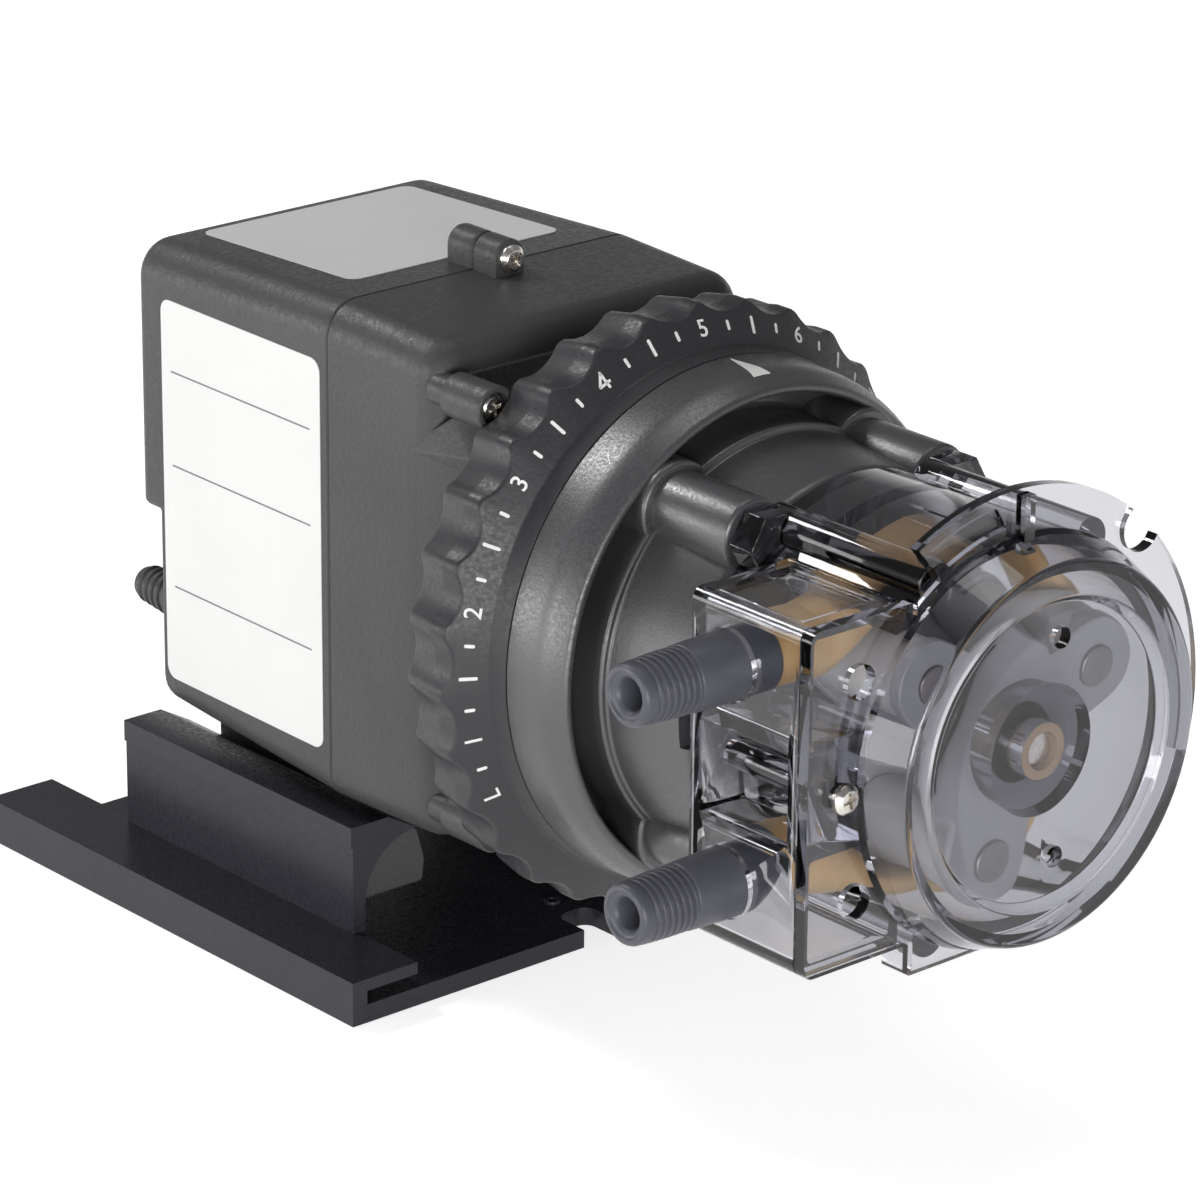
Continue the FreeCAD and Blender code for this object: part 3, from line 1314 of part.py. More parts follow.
def sector(inner, outer, start, end, out_across, out_up):
    """Ring sector from start back to end; its outer arc has its own middle."""
    inner, outer, start, end = (as_size(item) for item in (inner, outer, start, end))

    def draw(sketch):
        zero = FreeCAD.Vector(0, 0, 0)
        middle = FreeCAD.Vector(out_across.value, out_up.value, 0)
        normal = FreeCAD.Vector(0, 0, 1)
        low = math.radians(end.value)
        high = math.radians(start.value)
        outer_circle = Part.Circle(middle, normal, outer.value)
        inner_circle = Part.Circle(zero, normal, inner.value)
        arc_out = sketch.addGeometry(Part.ArcOfCircle(outer_circle, low, high), False)
        arc_in = sketch.addGeometry(Part.ArcOfCircle(inner_circle, low, high), False)
        hold(sketch, "DistanceX", -1, 1, arc_out, 3, out_across)
        hold(sketch, "DistanceY", -1, 1, arc_out, 3, out_up)
        sketch.addConstraint(Sketcher.Constraint("Coincident", arc_in, 3, -1, 1))
        hold(sketch, "Radius", arc_out, outer)
        hold(sketch, "Radius", arc_in, inner)
        for vertex, angle in ((2, start), (1, end)):
            in_x = inner * cosine(angle)
            out_x = out_across + outer * cosine(angle)
            inside = FreeCAD.Vector(in_x.value, (inner * sine(angle)).value, 0)
            outside = FreeCAD.Vector(out_x.value, (out_up + outer * sine(angle)).value, 0)
            line = sketch.addGeometry(Part.LineSegment(inside, outside), False)
            sketch.addConstraint(Sketcher.Constraint("Coincident", line, 1, arc_in, vertex))
            sketch.addConstraint(Sketcher.Constraint("Coincident", line, 2, arc_out, vertex))
            hold(sketch, "DistanceX", -1, 1, line, 2, out_x)
            hold(sketch, "DistanceX", -1, 1, line, 1, in_x)

    return draw


def make_head_screw():
    body = screw_body("head_screw", d.head_screw_length)
    seat = d.housing_front + d.cover_gap + d.cover_plate
    screw_group("head_screw", body, [(-d.head_screw_x, -seat, 0)])


# Roller shaft, carrier, rollers and pump tube
def make_shaft():
    body = new_body("roller_shaft")
    corners = [
        (-d.shaft_front, 0),
        (-d.shaft_front, d.shaft_radius, 0.8),
        (d.shaft_back, d.shaft_radius, 0.5),
        (d.shaft_back, 0),
    ]
    revolve(body, corners)


def make_carrier(name, back_low, back_high, hub_low, hub_high):
    """A carrier plate with one arm to each roller."""
    body = new_body(name)
    angle = d.roller_start_angle
    pad(body, "Y", hub_low, hub_high, rings((0, 0, d.carrier_hub_radius)))
    pad(body, "Y", back_low, back_high, rings((0, 0, d.carrier_web_radius)))
    tip_x = d.roller_circle * cosine(angle)
    tip_z = d.roller_circle * sine(angle)
    tip = pad(body, "Y", back_low, back_high, rings((tip_x, tip_z, d.carrier_arm_radius)))
    half = d.carrier_bar_half
    arm = [
        (-half * sine(angle), half * cosine(angle)),
        (half * sine(angle), -half * cosine(angle)),
        (tip_x + half * sine(angle), tip_z - half * cosine(angle)),
        (tip_x - half * sine(angle), tip_z + half * cosine(angle)),
    ]
    bar = pad(body, "Y", back_low, back_high, polygon(arm))
    hole = pocket(body, "Y", back_low - 1, back_high + 1, rings((tip_x, tip_z, d.roller_pin_radius)))
    around(body, hole, d.roller_count).Originals = [tip, bar, hole]
    pocket(body, "Y", hub_low - 1, hub_high + 1, rings((0, 0, d.shaft_radius)))


def make_rollers():
    middle = -(d.roller_front + d.roller_back) / 2
    half = (d.roller_front - d.roller_back) / 2
    gap = d.slip_gap
    rear = middle + half + gap
    front = middle - half - gap
    make_carrier("roller_carrier_rear", rear, rear + d.carrier_plate, middle, rear + d.carrier_plate)
    make_carrier("roller_carrier_front", front - d.carrier_plate, front, front - d.carrier_plate, middle)
    pins = []
    for index in range(int(d.roller_count.value)):
        angle = d.roller_start_angle + 360 / d.roller_count * index
        across = d.roller_circle * cosine(angle)
        up = d.roller_circle * sine(angle)
        low = front - d.carrier_plate
        shank = rod("roller_pin_shank", d.roller_pin_radius, low, rear + d.carrier_plate, across, up)
        head = rod("roller_pin_head", d.pin_head_radius, low - d.pin_head_thick, low, across, up)
        pin = doc.addObject("Part::Fuse", unique("roller_pin"))
        pin.Base = shank
        pin.Tool = head
        pins.append(pin)
        body = new_body(f"roller_{index + 1}", across=across, back=middle, up=up)
        corners = [
            (-half, d.roller_bore),
            (-half, d.roller_radius, 1),
            (half, d.roller_radius, 1),
            (half, d.roller_bore),
        ]
        revolve(body, corners)
    compound("roller_pins", pins)


def make_fitting(name, level):
    """Threaded hose fitting with a barb for the pump tube, along X."""
    body = new_body(name, back=-d.tube_plane, up=level)
    thread_end = -d.fitting_mouth + d.thread_length
    corners = [
        (-d.fitting_mouth, d.fitting_bore + d.fitting_lead_in),
        (-d.fitting_mouth, d.thread_radius, 0.8),
        (thread_end, d.thread_radius),
        (thread_end, d.neck_radius, 0.5),
        (-d.neck_end, d.neck_radius, 0.4),
        (-d.neck_end, d.barb_radius),
        (-d.barb_end, d.barb_radius, 0.6),
        (-d.barb_end, d.fitting_bore),
        (-d.fitting_mouth + 2, d.fitting_bore),
    ]
    revolve(body, corners, axis="X")


def make_pump_tube():
    """Pump tube: round over the barbs, pressed flat round the track; sizes are read from the sheet."""
    ring = d.track_radius.value - 0.3 - d.tube_flat_thick.value / 2
    turn = d.tube_turn.value
    level = d.fitting_z.value
    start = -d.neck_end.value + 0.2
    bend = -d.barb_end.value + 0.5
    end_radius = d.tube_end_radius.value
    thick = d.tube_flat_thick.value
    wide = d.tube_flat_width.value
    up = FreeCAD.Vector(0, 0, 1)
    along = FreeCAD.Vector(1, 0, 0)
    back = FreeCAD.Vector(0, 1, 0)
    touch = FreeCAD.Vector(ring * math.cos(math.radians(turn)), 0, ring * math.sin(math.radians(turn)))
    radial = FreeCAD.Vector(math.cos(math.radians(turn)), 0, math.sin(math.radians(turn)))

    def flat_section(centre, out):
        corners = []
        for side_out, side_back in ((-1, -1), (1, -1), (1, 1), (-1, 1), (-1, -1)):
            corners.append(centre + out * (side_out * thick / 2) + back * (side_back * wide / 2))
        return Part.makePolygon(corners)

    mouth_centre = FreeCAD.Vector(start, 0, level)
    barb_room = d.barb_radius.value + 0.02
    barrel = Part.makeCylinder(end_radius, bend - start, mouth_centre, along)
    bore = Part.makeCylinder(barb_room, bend - start - 0.3, mouth_centre, along)
    mouth = Part.Wire([Part.makeCircle(end_radius, FreeCAD.Vector(bend, 0, level), along)])
    taper = Part.makeLoft([mouth, flat_section(touch, radial)], True, True)
    half = barrel.fuse(taper).cut(bore)
    lower = half.mirror(FreeCAD.Vector(0, 0, 0), up)
    face = Part.Face(flat_section(touch, radial))
    loop = face.revolve(FreeCAD.Vector(0, 0, 0), back, 2 * turn)
    whole = half.fuse([loop, lower]).removeSplitter()
    piece = doc.addObject("Part::Feature", "pump_tube")
    piece.Label = "pump_tube"
    piece.Shape = whole
    place(piece, back=-d.tube_plane)
    parts.append(piece)


# Gear train
def toothed(body, teeth, low, high, mesh_angle, gap_at_mesh):
    """Toothed wheel about the body's Y axis; a tooth, or a gap, points along mesh_angle."""
    pitch_radius = d.gear_module * teeth / 2
    tip = pitch_radius + d.gear_module * d.tooth_addendum
    root = pitch_radius - d.gear_module * d.tooth_dedendum
    pad(body, "Y", low, high, rings((0, 0, tip)))
    angle = as_size(mesh_angle)
    if not gap_at_mesh:
        angle = angle + 180 / teeth
    narrow = d.gear_module * d.gap_root_half
    wide = d.gear_module * d.gap_tip_half
    corners = []
    for radius, side in ((root, -narrow), (root, narrow), (tip + 0.3, wide), (tip + 0.3, -wide)):
        across = radius * cosine(angle) - side * sine(angle)
        up = radius * sine(angle) + side * cosine(angle)
        corners.append((across, up))
    gap = pocket(body, "Y", low, high, polygon(corners))
    around(body, gap, teeth)


def make_gears():
    module = d.gear_module
    first = module * (d.rotor_teeth + d.first_teeth) / 2
    second = module * (d.first_pinion_teeth + d.second_teeth) / 2
    third = module * (d.second_pinion_teeth + d.output_teeth) / 2
    rotor_x = third - first
    rotor_up = -second
    bore = d.axle_radius + d.run_gap
    rear = d.gear_plate_rear

    body = new_body("first_gear", across=third, up=-second)
    front = rear - d.first_wheel_front
    toothed(body, d.first_teeth, front, rear - d.first_wheel_back, 180, False)
    toothed(body, d.first_pinion_teeth, rear - d.first_pinion_front, front, 90, True)
    pocket(body, "Y", rear - d.first_pinion_front - 1, rear - d.first_wheel_back + 1, rings((0, 0, bore)))

    body = new_body("second_gear", across=third)
    front = rear - d.second_wheel_front
    toothed(body, d.second_teeth, front, rear - d.second_wheel_back, 270, False)
    toothed(body, d.second_pinion_teeth, rear - d.second_pinion_front, front, 180, True)
    pocket(body, "Y", rear - d.second_pinion_front - 1, rear - d.second_wheel_back + 1, rings((0, 0, bore)))

    body = new_body("output_gear")
    toothed(body, d.output_teeth, rear - d.output_wheel_front, rear - d.output_wheel_back, 0, False)
    sleeve_back = rear - d.sleeve_back
    pad(body, "Y", d.sleeve_front, sleeve_back, rings((0, 0, d.sleeve_radius)))
    pocket(body, "Y", d.sleeve_front - 1, sleeve_back + 1, rings((0, 0, d.shaft_radius + d.run_gap)))

    body = new_body("index_plate")
    plate_back = d.sleeve_front + d.index_plate_thick
    pad(body, "Y", d.sleeve_front, plate_back, rings((0, 0, d.index_plate_radius)))
    holes = [(0, 0, d.sleeve_radius)]
    for side in (-1, 1):
        holes.append((0, side * d.index_pin_circle, d.index_pin_radius + d.index_pin_gap))
    pocket(body, "Y", d.sleeve_front - 1, plate_back + 1, rings(*holes))
    return third, second, rotor_x, rotor_up


def gear_plate(name, low, holes):
    body = new_body(name)
    plate = rectangle(
        -d.gear_plate_half_width, d.gear_plate_half_width, -d.gear_plate_low, d.gear_plate_top, 4
    )
    pad(body, "Y", low, low + d.gear_plate_thick, polygon(plate))
    pocket(body, "Y", low - 1, low + d.gear_plate_thick + 1, rings(*holes))


def make_gear_frame(third, second, rotor_x, rotor_up):
    axle = d.axle_radius + d.run_gap
    spots = [(third, -second), (third, 0)]
    front = d.gear_room_front
    rear = d.gear_plate_rear
    front_holes = [(across, up, axle) for across, up in spots]
    front_holes.append((0, 0, d.sleeve_radius + d.slip_gap))
    front_holes.extend(bell_screw_spots(d.bell_screw_head_radius + d.slip_gap))
    gear_plate("gear_plate_front", front, front_holes)
    rear_holes = [(across, up, axle) for across, up in spots]
    rear_holes.append((rotor_x, rotor_up, d.rotor_pinion_hole))
    gear_plate("gear_plate_rear", rear, rear_holes)
    axles = []
    for across, up in spots:
        axles.append(rod("gear_axle", d.axle_radius, front, rear + d.gear_plate_thick, across, up))
    compound("gear_axles", axles)
    spacers = []
    for side in (-1, 1):
        for level in (d.gear_plate_top - d.spacer_inset, d.spacer_inset - d.gear_plate_low):
            across = side * (d.gear_plate_half_width - d.spacer_inset)
            low = front + d.gear_plate_thick
            spacers.append(rod("gear_spacer", d.spacer_radius, low, rear, across, level))
    compound("gear_spacers", spacers)


def make_motor(rotor_x, rotor_up):
    front = d.stack_front
    back = front + d.stack_length
    half = d.stack_half_width

    body = new_body("motor_stator")
    pad(body, "Y", front, back, polygon(rectangle(-half, half, -d.stack_low, d.stack_top, 3)))
    bore = d.rotor_radius + d.air_gap
    pocket(body, "Y", front - 1, back + 1, rings((rotor_x, rotor_up, bore)))
    window_top = d.core_centre - d.core_half_height
    window_low = window_top - d.coil_thick - d.window_room
    coil = d.coil_half_length + 1
    pocket(body, "Y", front - 1, back + 1, polygon(rectangle(-coil, coil, window_low, window_top, 1)))
    above = d.core_centre + d.core_half_height
    pocket(body, "Y", front - 1, back + 1, polygon(rectangle(-coil, coil, above, d.stack_top + 1)))
    bolts = []
    for side in (-1, 1):
        bolts.append((side * (half - d.motor_bolt_inset), rotor_up, d.motor_bolt_radius + d.run_gap))
    pocket(body, "Y", front - 1, back + 1, rings(*bolts))

    body = new_body("motor_coil")
    outer = d.coil_thick + d.slip_gap
    low = d.core_centre - d.core_half_height
    high = d.core_centre + d.core_half_height
    wound = rectangle(front - outer, back + outer, low - outer, high + outer, 3)
    length = d.coil_half_length
    pad(body, "X", -length, length, polygon(wound))
    gap = d.slip_gap
    core = rectangle(front - gap, back + gap, low - gap, high + gap)
    pocket(body, "X", -length - 1, length + 1, polygon(core))

    for name, low, high in (
        ("motor_bridge_front", front - d.bridge_thick, front),
        ("motor_bridge_rear", back, back + d.bridge_thick),
    ):
        body = new_body(name)
        tall = d.bridge_half_height
        strap = rectangle(-half, half, rotor_up - tall, rotor_up + tall, 3)
        pad(body, "Y", low, high, polygon(strap))
        seat = (rotor_x, rotor_up, d.motor_bearing_radius + d.run_gap)
        pocket(body, "Y", low - 1, high + 1, rings(seat, *bolts))
        hollow = rings((rotor_x, rotor_up, bore + 1.5))
        if name.endswith("front"):
            pocket(body, "Y", high - d.bridge_hollow_depth, high + 1, hollow)
        else:
            pocket(body, "Y", low - 1, low + d.bridge_hollow_depth, hollow)

    shaft = d.rotor_shaft_radius
    for name, low in (
        ("motor_bearing_front", front - d.bridge_thick),
        ("motor_bearing_rear", back + d.bridge_thick - d.motor_bearing_length),
    ):
        high = low + d.motor_bearing_length
        tube_of(name, d.motor_bearing_radius, shaft + d.run_gap, low, high, rotor_x, rotor_up)

    body = new_body("rotor_core", across=rotor_x, up=rotor_up)
    core_low = front - d.rotor_overhang
    core_high = back + d.rotor_overhang
    corners = [
        (core_low, shaft),
        (core_low, d.rotor_radius, 0.8),
        (core_high, d.rotor_radius, 0.8),
        (core_high, shaft),
    ]
    revolve(body, corners)

    body = new_body("rotor_shaft", across=rotor_x, up=rotor_up)
    rear = d.gear_plate_rear
    pinion_back = rear - d.rotor_pinion_back
    toothed(body, d.rotor_teeth, rear - d.rotor_pinion_front, pinion_back, 0, True)
    pad(body, "Y", pinion_back, back + d.rotor_shaft_back, rings((0, 0, shaft)))

    body = new_body("cooling_fan", across=rotor_x, up=rotor_up)
    fan_low = back + d.fan_distance
    fan_high = fan_low + d.fan_length
    pad(body, "Y", fan_low, fan_high, rings((0, 0, d.fan_hub_radius)))
    pad(body, "Y", fan_low, fan_low + d.fan_disc, rings((0, 0, d.fan_radius)))
    blade_half = d.fan_blade_thick / 2
    blade_corners = rectangle(d.fan_hub_radius - 1, d.fan_radius - 0.5, -blade_half, blade_half)
    blade = pad(body, "Y", fan_low + 1, fan_high, polygon(blade_corners))
    around(body, blade, d.fan_blades)
    pocket(body, "Y", fan_low - 1, fan_high + 1, rings((0, 0, shaft)))

    pieces = []
    sleeves = []
    seat = d.gear_plate_rear + d.gear_plate_thick
    bridge = front - d.bridge_thick
    bolt_end = back + d.bridge_thick + d.motor_bolt_radius
    for across, up, hole in bolts:
        pieces.append(rod("motor_bolt", d.motor_bolt_radius, seat, bolt_end, across, up))
        cut = doc.addObject("Part::Cut", unique("motor_spacer_piece"))
        cut.Base = rod("motor_spacer", d.motor_spacer_radius, seat, bridge, across, up)
        cut.Tool = rod("motor_spacer_bore", hole, seat - 1, bridge + 1, across, up)
        sleeves.append(cut)
    compound("motor_bolts", pieces)
    compound("motor_spacers", sleeves)


def make_bearings():
    shaft = d.shaft_radius + d.run_gap
    low = -d.hub_front + 1
    tube_of("shaft_bearing", d.bearing_radius, shaft, low, low + d.bearing_length)
    tube_of("shaft_seal", d.bearing_radius, shaft, -d.web_front, -d.web_back)
    sleeve = d.sleeve_radius + d.run_gap
    tube_of("output_bearing", d.bearing_radius, sleeve, d.flange_front, d.hub_recess_front)
    floor = -d.cover_recess_floor + d.cover_recess_thick
    tube_of("cover_bushing", d.bushing_radius, shaft, floor, floor + d.bushing_length)


def make_feed_control():
    """Pins that join the output sleeve to the roller shaft, and the lifter that draws them out."""
    shaft = d.shaft_radius
    gap = d.slip_gap
    holder = new_body("pin_holder")
    low = d.holder_front
    high = low + d.holder_thick
    pad(holder, "Y", low, high, rings((0, 0, d.index_plate_radius - 1)))
    pin_holes = []
    for side in (-1, 1):
        pin_holes.append((0, side * d.index_pin_circle, d.index_pin_radius + d.run_gap))
    pocket(holder, "Y", low - 1, high + 1, rings((0, 0, shaft), *pin_holes))

    lifter = new_body("pin_lifter")
    rear = low - gap
    front = rear - d.lifter_thick
    reach = d.cam_parting - gap
    pad(lifter, "Y", front, rear, rings((0, 0, d.index_plate_radius - 2)))
    arm = rectangle(-d.lifter_arm, d.lifter_arm, -reach, reach, 2)
    pad(lifter, "Y", front, rear, polygon(arm))
    for side in (-1, 1):
        bottom, top = sorted_pair(side * (reach - 3.5), side * reach)
        finger = rectangle(-d.lifter_arm, d.lifter_arm, bottom, top)
        pad(lifter, "Y", front, d.cam_front - gap, polygon(finger))
        pin = rings((0, side * d.index_pin_circle, d.index_pin_radius))
        pad(lifter, "Y", rear - 1, d.sleeve_front + 2, pin)
    pocket(lifter, "Y", front - 1, rear + 1, rings((0, 0, shaft + 2)))

    spring_back = front - gap
    spring_front = -d.hub_front + d.bearing_length + 1 + d.lifter_travel + 2 * gap
    turns = int(d.spring_turns.value)
    pitch = (spring_back - spring_front) / turns
    dip_width = pitch - d.spring_wire
    outer = d.spring_outer
    inner = outer - d.spring_wire
    corners = [(spring_front, inner), (spring_front, outer)]
    for index in range(turns):
        turn_end = spring_front + pitch * (index + 1)
        if index < turns - 1:
            corners.append((turn_end - dip_width, outer))
            corners.append((turn_end - dip_width / 2, outer - d.spring_dip))
            corners.append((turn_end, outer))
    corners.append((spring_back, outer))
    corners.append((spring_back, inner))
    revolve(new_body("lifter_spring"), corners)


def make_all():
    make_bracket()
    make_foot()
    make_gear_case()
    make_motor_case()
    make_gasket()
    make_case_screws()
    make_gland()
    make_dial()
    make_cams()
    make_bell()
    make_bell_screws()
    make_housing()
    make_cover()
    make_head_screw()
    make_shaft()
    make_rollers()
    make_fitting("fitting_discharge", d.fitting_z)
    make_fitting("fitting_suction", -d.fitting_z)
    make_pump_tube()
    third, second, rotor_x, rotor_up = make_gears()
    make_gear_frame(third, second, rotor_x, rotor_up)
    make_motor(rotor_x, rotor_up)
    make_bearings()
    make_feed_control()


def check_and_write():
    doc.recompute()
    for thing in doc.Objects:
        if "Invalid" in thing.State or "Error" in thing.State:
            raise RuntimeError(f"{thing.Name} is {thing.State}")
    for piece in parts:
        shape = piece.Shape
        if shape.isNull() or not shape.isValid():
            raise RuntimeError(f"{piece.Label} has no valid shape")
        if not shape.Solids:
            raise RuntimeError(f"{piece.Label} has no solid")
    os.makedirs("parts", exist_ok=True)
    for piece in parts:
        piece.Shape.exportStep(os.path.join("parts", piece.Label + ".step"))
        print(piece.Label, len(piece.Shape.Solids), round(piece.Shape.Volume))


make_all()
check_and_write()
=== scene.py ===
import math

import bmesh
import bpy
from mathutils import Matrix, Vector


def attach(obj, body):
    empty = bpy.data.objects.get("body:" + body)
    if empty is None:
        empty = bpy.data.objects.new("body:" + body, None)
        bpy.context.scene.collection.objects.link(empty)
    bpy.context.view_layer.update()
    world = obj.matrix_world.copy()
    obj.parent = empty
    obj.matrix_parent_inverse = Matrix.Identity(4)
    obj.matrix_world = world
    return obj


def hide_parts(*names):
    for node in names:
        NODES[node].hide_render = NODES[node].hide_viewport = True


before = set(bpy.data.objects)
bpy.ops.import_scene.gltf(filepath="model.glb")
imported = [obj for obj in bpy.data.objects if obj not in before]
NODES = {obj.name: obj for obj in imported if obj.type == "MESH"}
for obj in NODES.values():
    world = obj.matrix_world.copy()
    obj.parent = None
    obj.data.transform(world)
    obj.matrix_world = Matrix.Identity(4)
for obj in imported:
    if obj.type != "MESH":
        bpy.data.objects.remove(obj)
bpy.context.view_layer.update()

# Lengths are in millimetres in the shaft frame of the CAD model: x to the right of someone who faces the
# pump head, y back to the motor, z up, zero on the shaft at the joint line between dial and bell.
SEAM_SETBACK = 108.0
SHAFT_HEIGHT = 92.0


def spot(x, y, z):
    """A point of the shaft frame in the row's metres."""
    return Vector((x, y - SEAM_SETBACK, z + SHAFT_HEIGHT)) * 0.001


def around(angle, radius, centre=(0.0, 0.0)):
    """Point (x, z) at an angle in degrees from +X towards +Z about a centre."""
    a = math.radians(angle)
    return Vector((centre[0] + radius * math.cos(a), centre[1] + radius * math.sin(a)))


def polar(angle, radius, y):
    """Point of the shaft frame at an angle about the shaft."""
    x, z = around(angle, radius)
    return (x, y, z)


def new_object(name, data):
    obj = bpy.data.objects.new(name, data)
    bpy.context.scene.collection.objects.link(obj)
    return obj


# Materials


def new_material(name):
    mat = bpy.data.materials.new(name)
    mat.use_nodes = True
    tree = mat.node_tree
    return mat, tree, tree.nodes["Principled BSDF"]


def add(tree, kind, **values):
    node = tree.nodes.new(kind)
    for key, value in values.items():
        setattr(node, key, value)
    return node


def fill(node, values):
    """Set inputs of a node by name."""
    for key, value in values.items():
        node.inputs[key].default_value = value


def noise(tree, scale, detail=3.0, rough=0.55, source=None):
    """Noise over the object's own metres, or over another source of coordinates."""
    if source is None:
        source = add(tree, "ShaderNodeTexCoord").outputs["Object"]
    tex = add(tree, "ShaderNodeTexNoise")
    fill(tex, {"Scale": scale, "Detail": detail, "Roughness": rough})
    tree.links.new(source, tex.inputs["Vector"])
    return tex.outputs["Fac"]


def ramp(tree, source, low, high, low_at=0.35, high_at=0.65):
    """A colour or grey that runs from low to high with a source value."""
    node = add(tree, "ShaderNodeValToRGB")
    node.color_ramp.elements[0].position = low_at
    node.color_ramp.elements[1].position = high_at
    for element, value in zip(node.color_ramp.elements, (low, high)):
        if isinstance(value, (int, float)):
            value = (value, value, value)
        element.color = (*value, 1)
    tree.links.new(source, node.inputs["Fac"])
    return node.outputs["Color"]


def bump(tree, shader, height, strength, distance):
    node = add(tree, "ShaderNodeBump")
    fill(node, {"Strength": strength, "Distance": distance})
    tree.links.new(height, node.inputs["Height"])
    tree.links.new(node.outputs["Normal"], shader.inputs["Normal"])


def scaled(colour, factor):
    return tuple(c * factor for c in colour)


def plastic(name, colour, rough, grain=2200.0, depth=0.00002, strength=0.35, uneven=0.06, shine=0.5):
    """Moulded plastic with an eroded texture: fine grain in the surface and slightly uneven gloss."""
    patch_scale = 38.0
    mat, tree, shader = new_material(name)
    shader.inputs["Specular IOR Level"].default_value = shine
    patches = noise(tree, patch_scale, 4.0)
    tint = ramp(tree, patches, scaled(colour, 1 - uneven), scaled(colour, 1 + uneven))
    tree.links.new(tint, shader.inputs["Base Color"])
    fine = noise(tree, grain, 2.0, 0.6)
    tree.links.new(ramp(tree, fine, rough - 0.07, rough + 0.09), shader.inputs["Roughness"])
    bump(tree, shader, fine, strength, depth)
    return mat


def clear_plastic(name, colour, smoke):
    """Clear polycarbonate, darker where light goes a long way through it, with thin shadows."""
    shadow = 0.75
    mat, tree, shader = new_material(name)
    link = tree.links.new
    out = tree.nodes["Material Output"]
    fill(shader, {"Transmission Weight": 1.0, "IOR": 1.5})
    absorb = add(tree, "ShaderNodeVolumeAbsorption")
    fill(absorb, {"Color": (0.30, 0.30, 0.36, 1), "Density": smoke})
    link(absorb.outputs["Volume"], out.inputs["Volume"])
    smear = noise(tree, 55.0)
    link(ramp(tree, smear, scaled(colour, 0.97), colour), shader.inputs["Base Color"])
    link(ramp(tree, smear, 0.015, 0.045), shader.inputs["Roughness"])
    bump(tree, shader, noise(tree, 120.0, 2.0), 0.05, 0.0002)
    path = add(tree, "ShaderNodeLightPath")
    through = add(tree, "ShaderNodeBsdfTransparent")
    through.inputs["Color"].default_value = (shadow, shadow, shadow, 1)
    mix = add(tree, "ShaderNodeMixShader")
    link(path.outputs["Is Shadow Ray"], mix.inputs["Fac"])
    link(shader.outputs["BSDF"], mix.inputs[1])
    link(through.outputs["BSDF"], mix.inputs[2])
    link(mix.outputs["Shader"], out.inputs["Surface"])
    return mat


def metal(name, colour, rough, stretch=(1, 1, 1)):
    """Metal with fine tool marks along one direction."""
    mat, tree, shader = new_material(name)
    shader.inputs["Metallic"].default_value = 1.0
    where = add(tree, "ShaderNodeTexCoord")
    place = add(tree, "ShaderNodeMapping")
    place.inputs["Scale"].default_value = stretch
    tree.links.new(where.outputs["Object"], place.inputs["Vector"])
    marks = noise(tree, 900.0, 3.0, 0.5, place.outputs["Vector"])
    tree.links.new(ramp(tree, marks, scaled(colour, 0.88), scaled(colour, 1.05)), shader.inputs["Base Color"])
    tree.links.new(ramp(tree, marks, rough - 0.05, rough + 0.08), shader.inputs["Roughness"])
    bump(tree, shader, marks, 0.25, 0.00002)
    return mat


def rubber_tube(name):
    """Tan pump tube that lets some light through."""
    dark = (0.48, 0.28, 0.10)
    pale = (0.68, 0.46, 0.21)
    mat, tree, shader = new_material(name)
    cloud = noise(tree, 90.0, 4.0)
    tree.links.new(ramp(tree, cloud, dark, pale), shader.inputs["Base Color"])
    fill(shader, {"Subsurface Weight": 0.25, "Subsurface Radius": (0.003, 0.0015, 0.0006)})
    tree.links.new(ramp(tree, cloud, 0.3, 0.42), shader.inputs["Roughness"])
    bump(tree, shader, noise(tree, 400.0, 2.0), 0.1, 0.00005)
    return mat


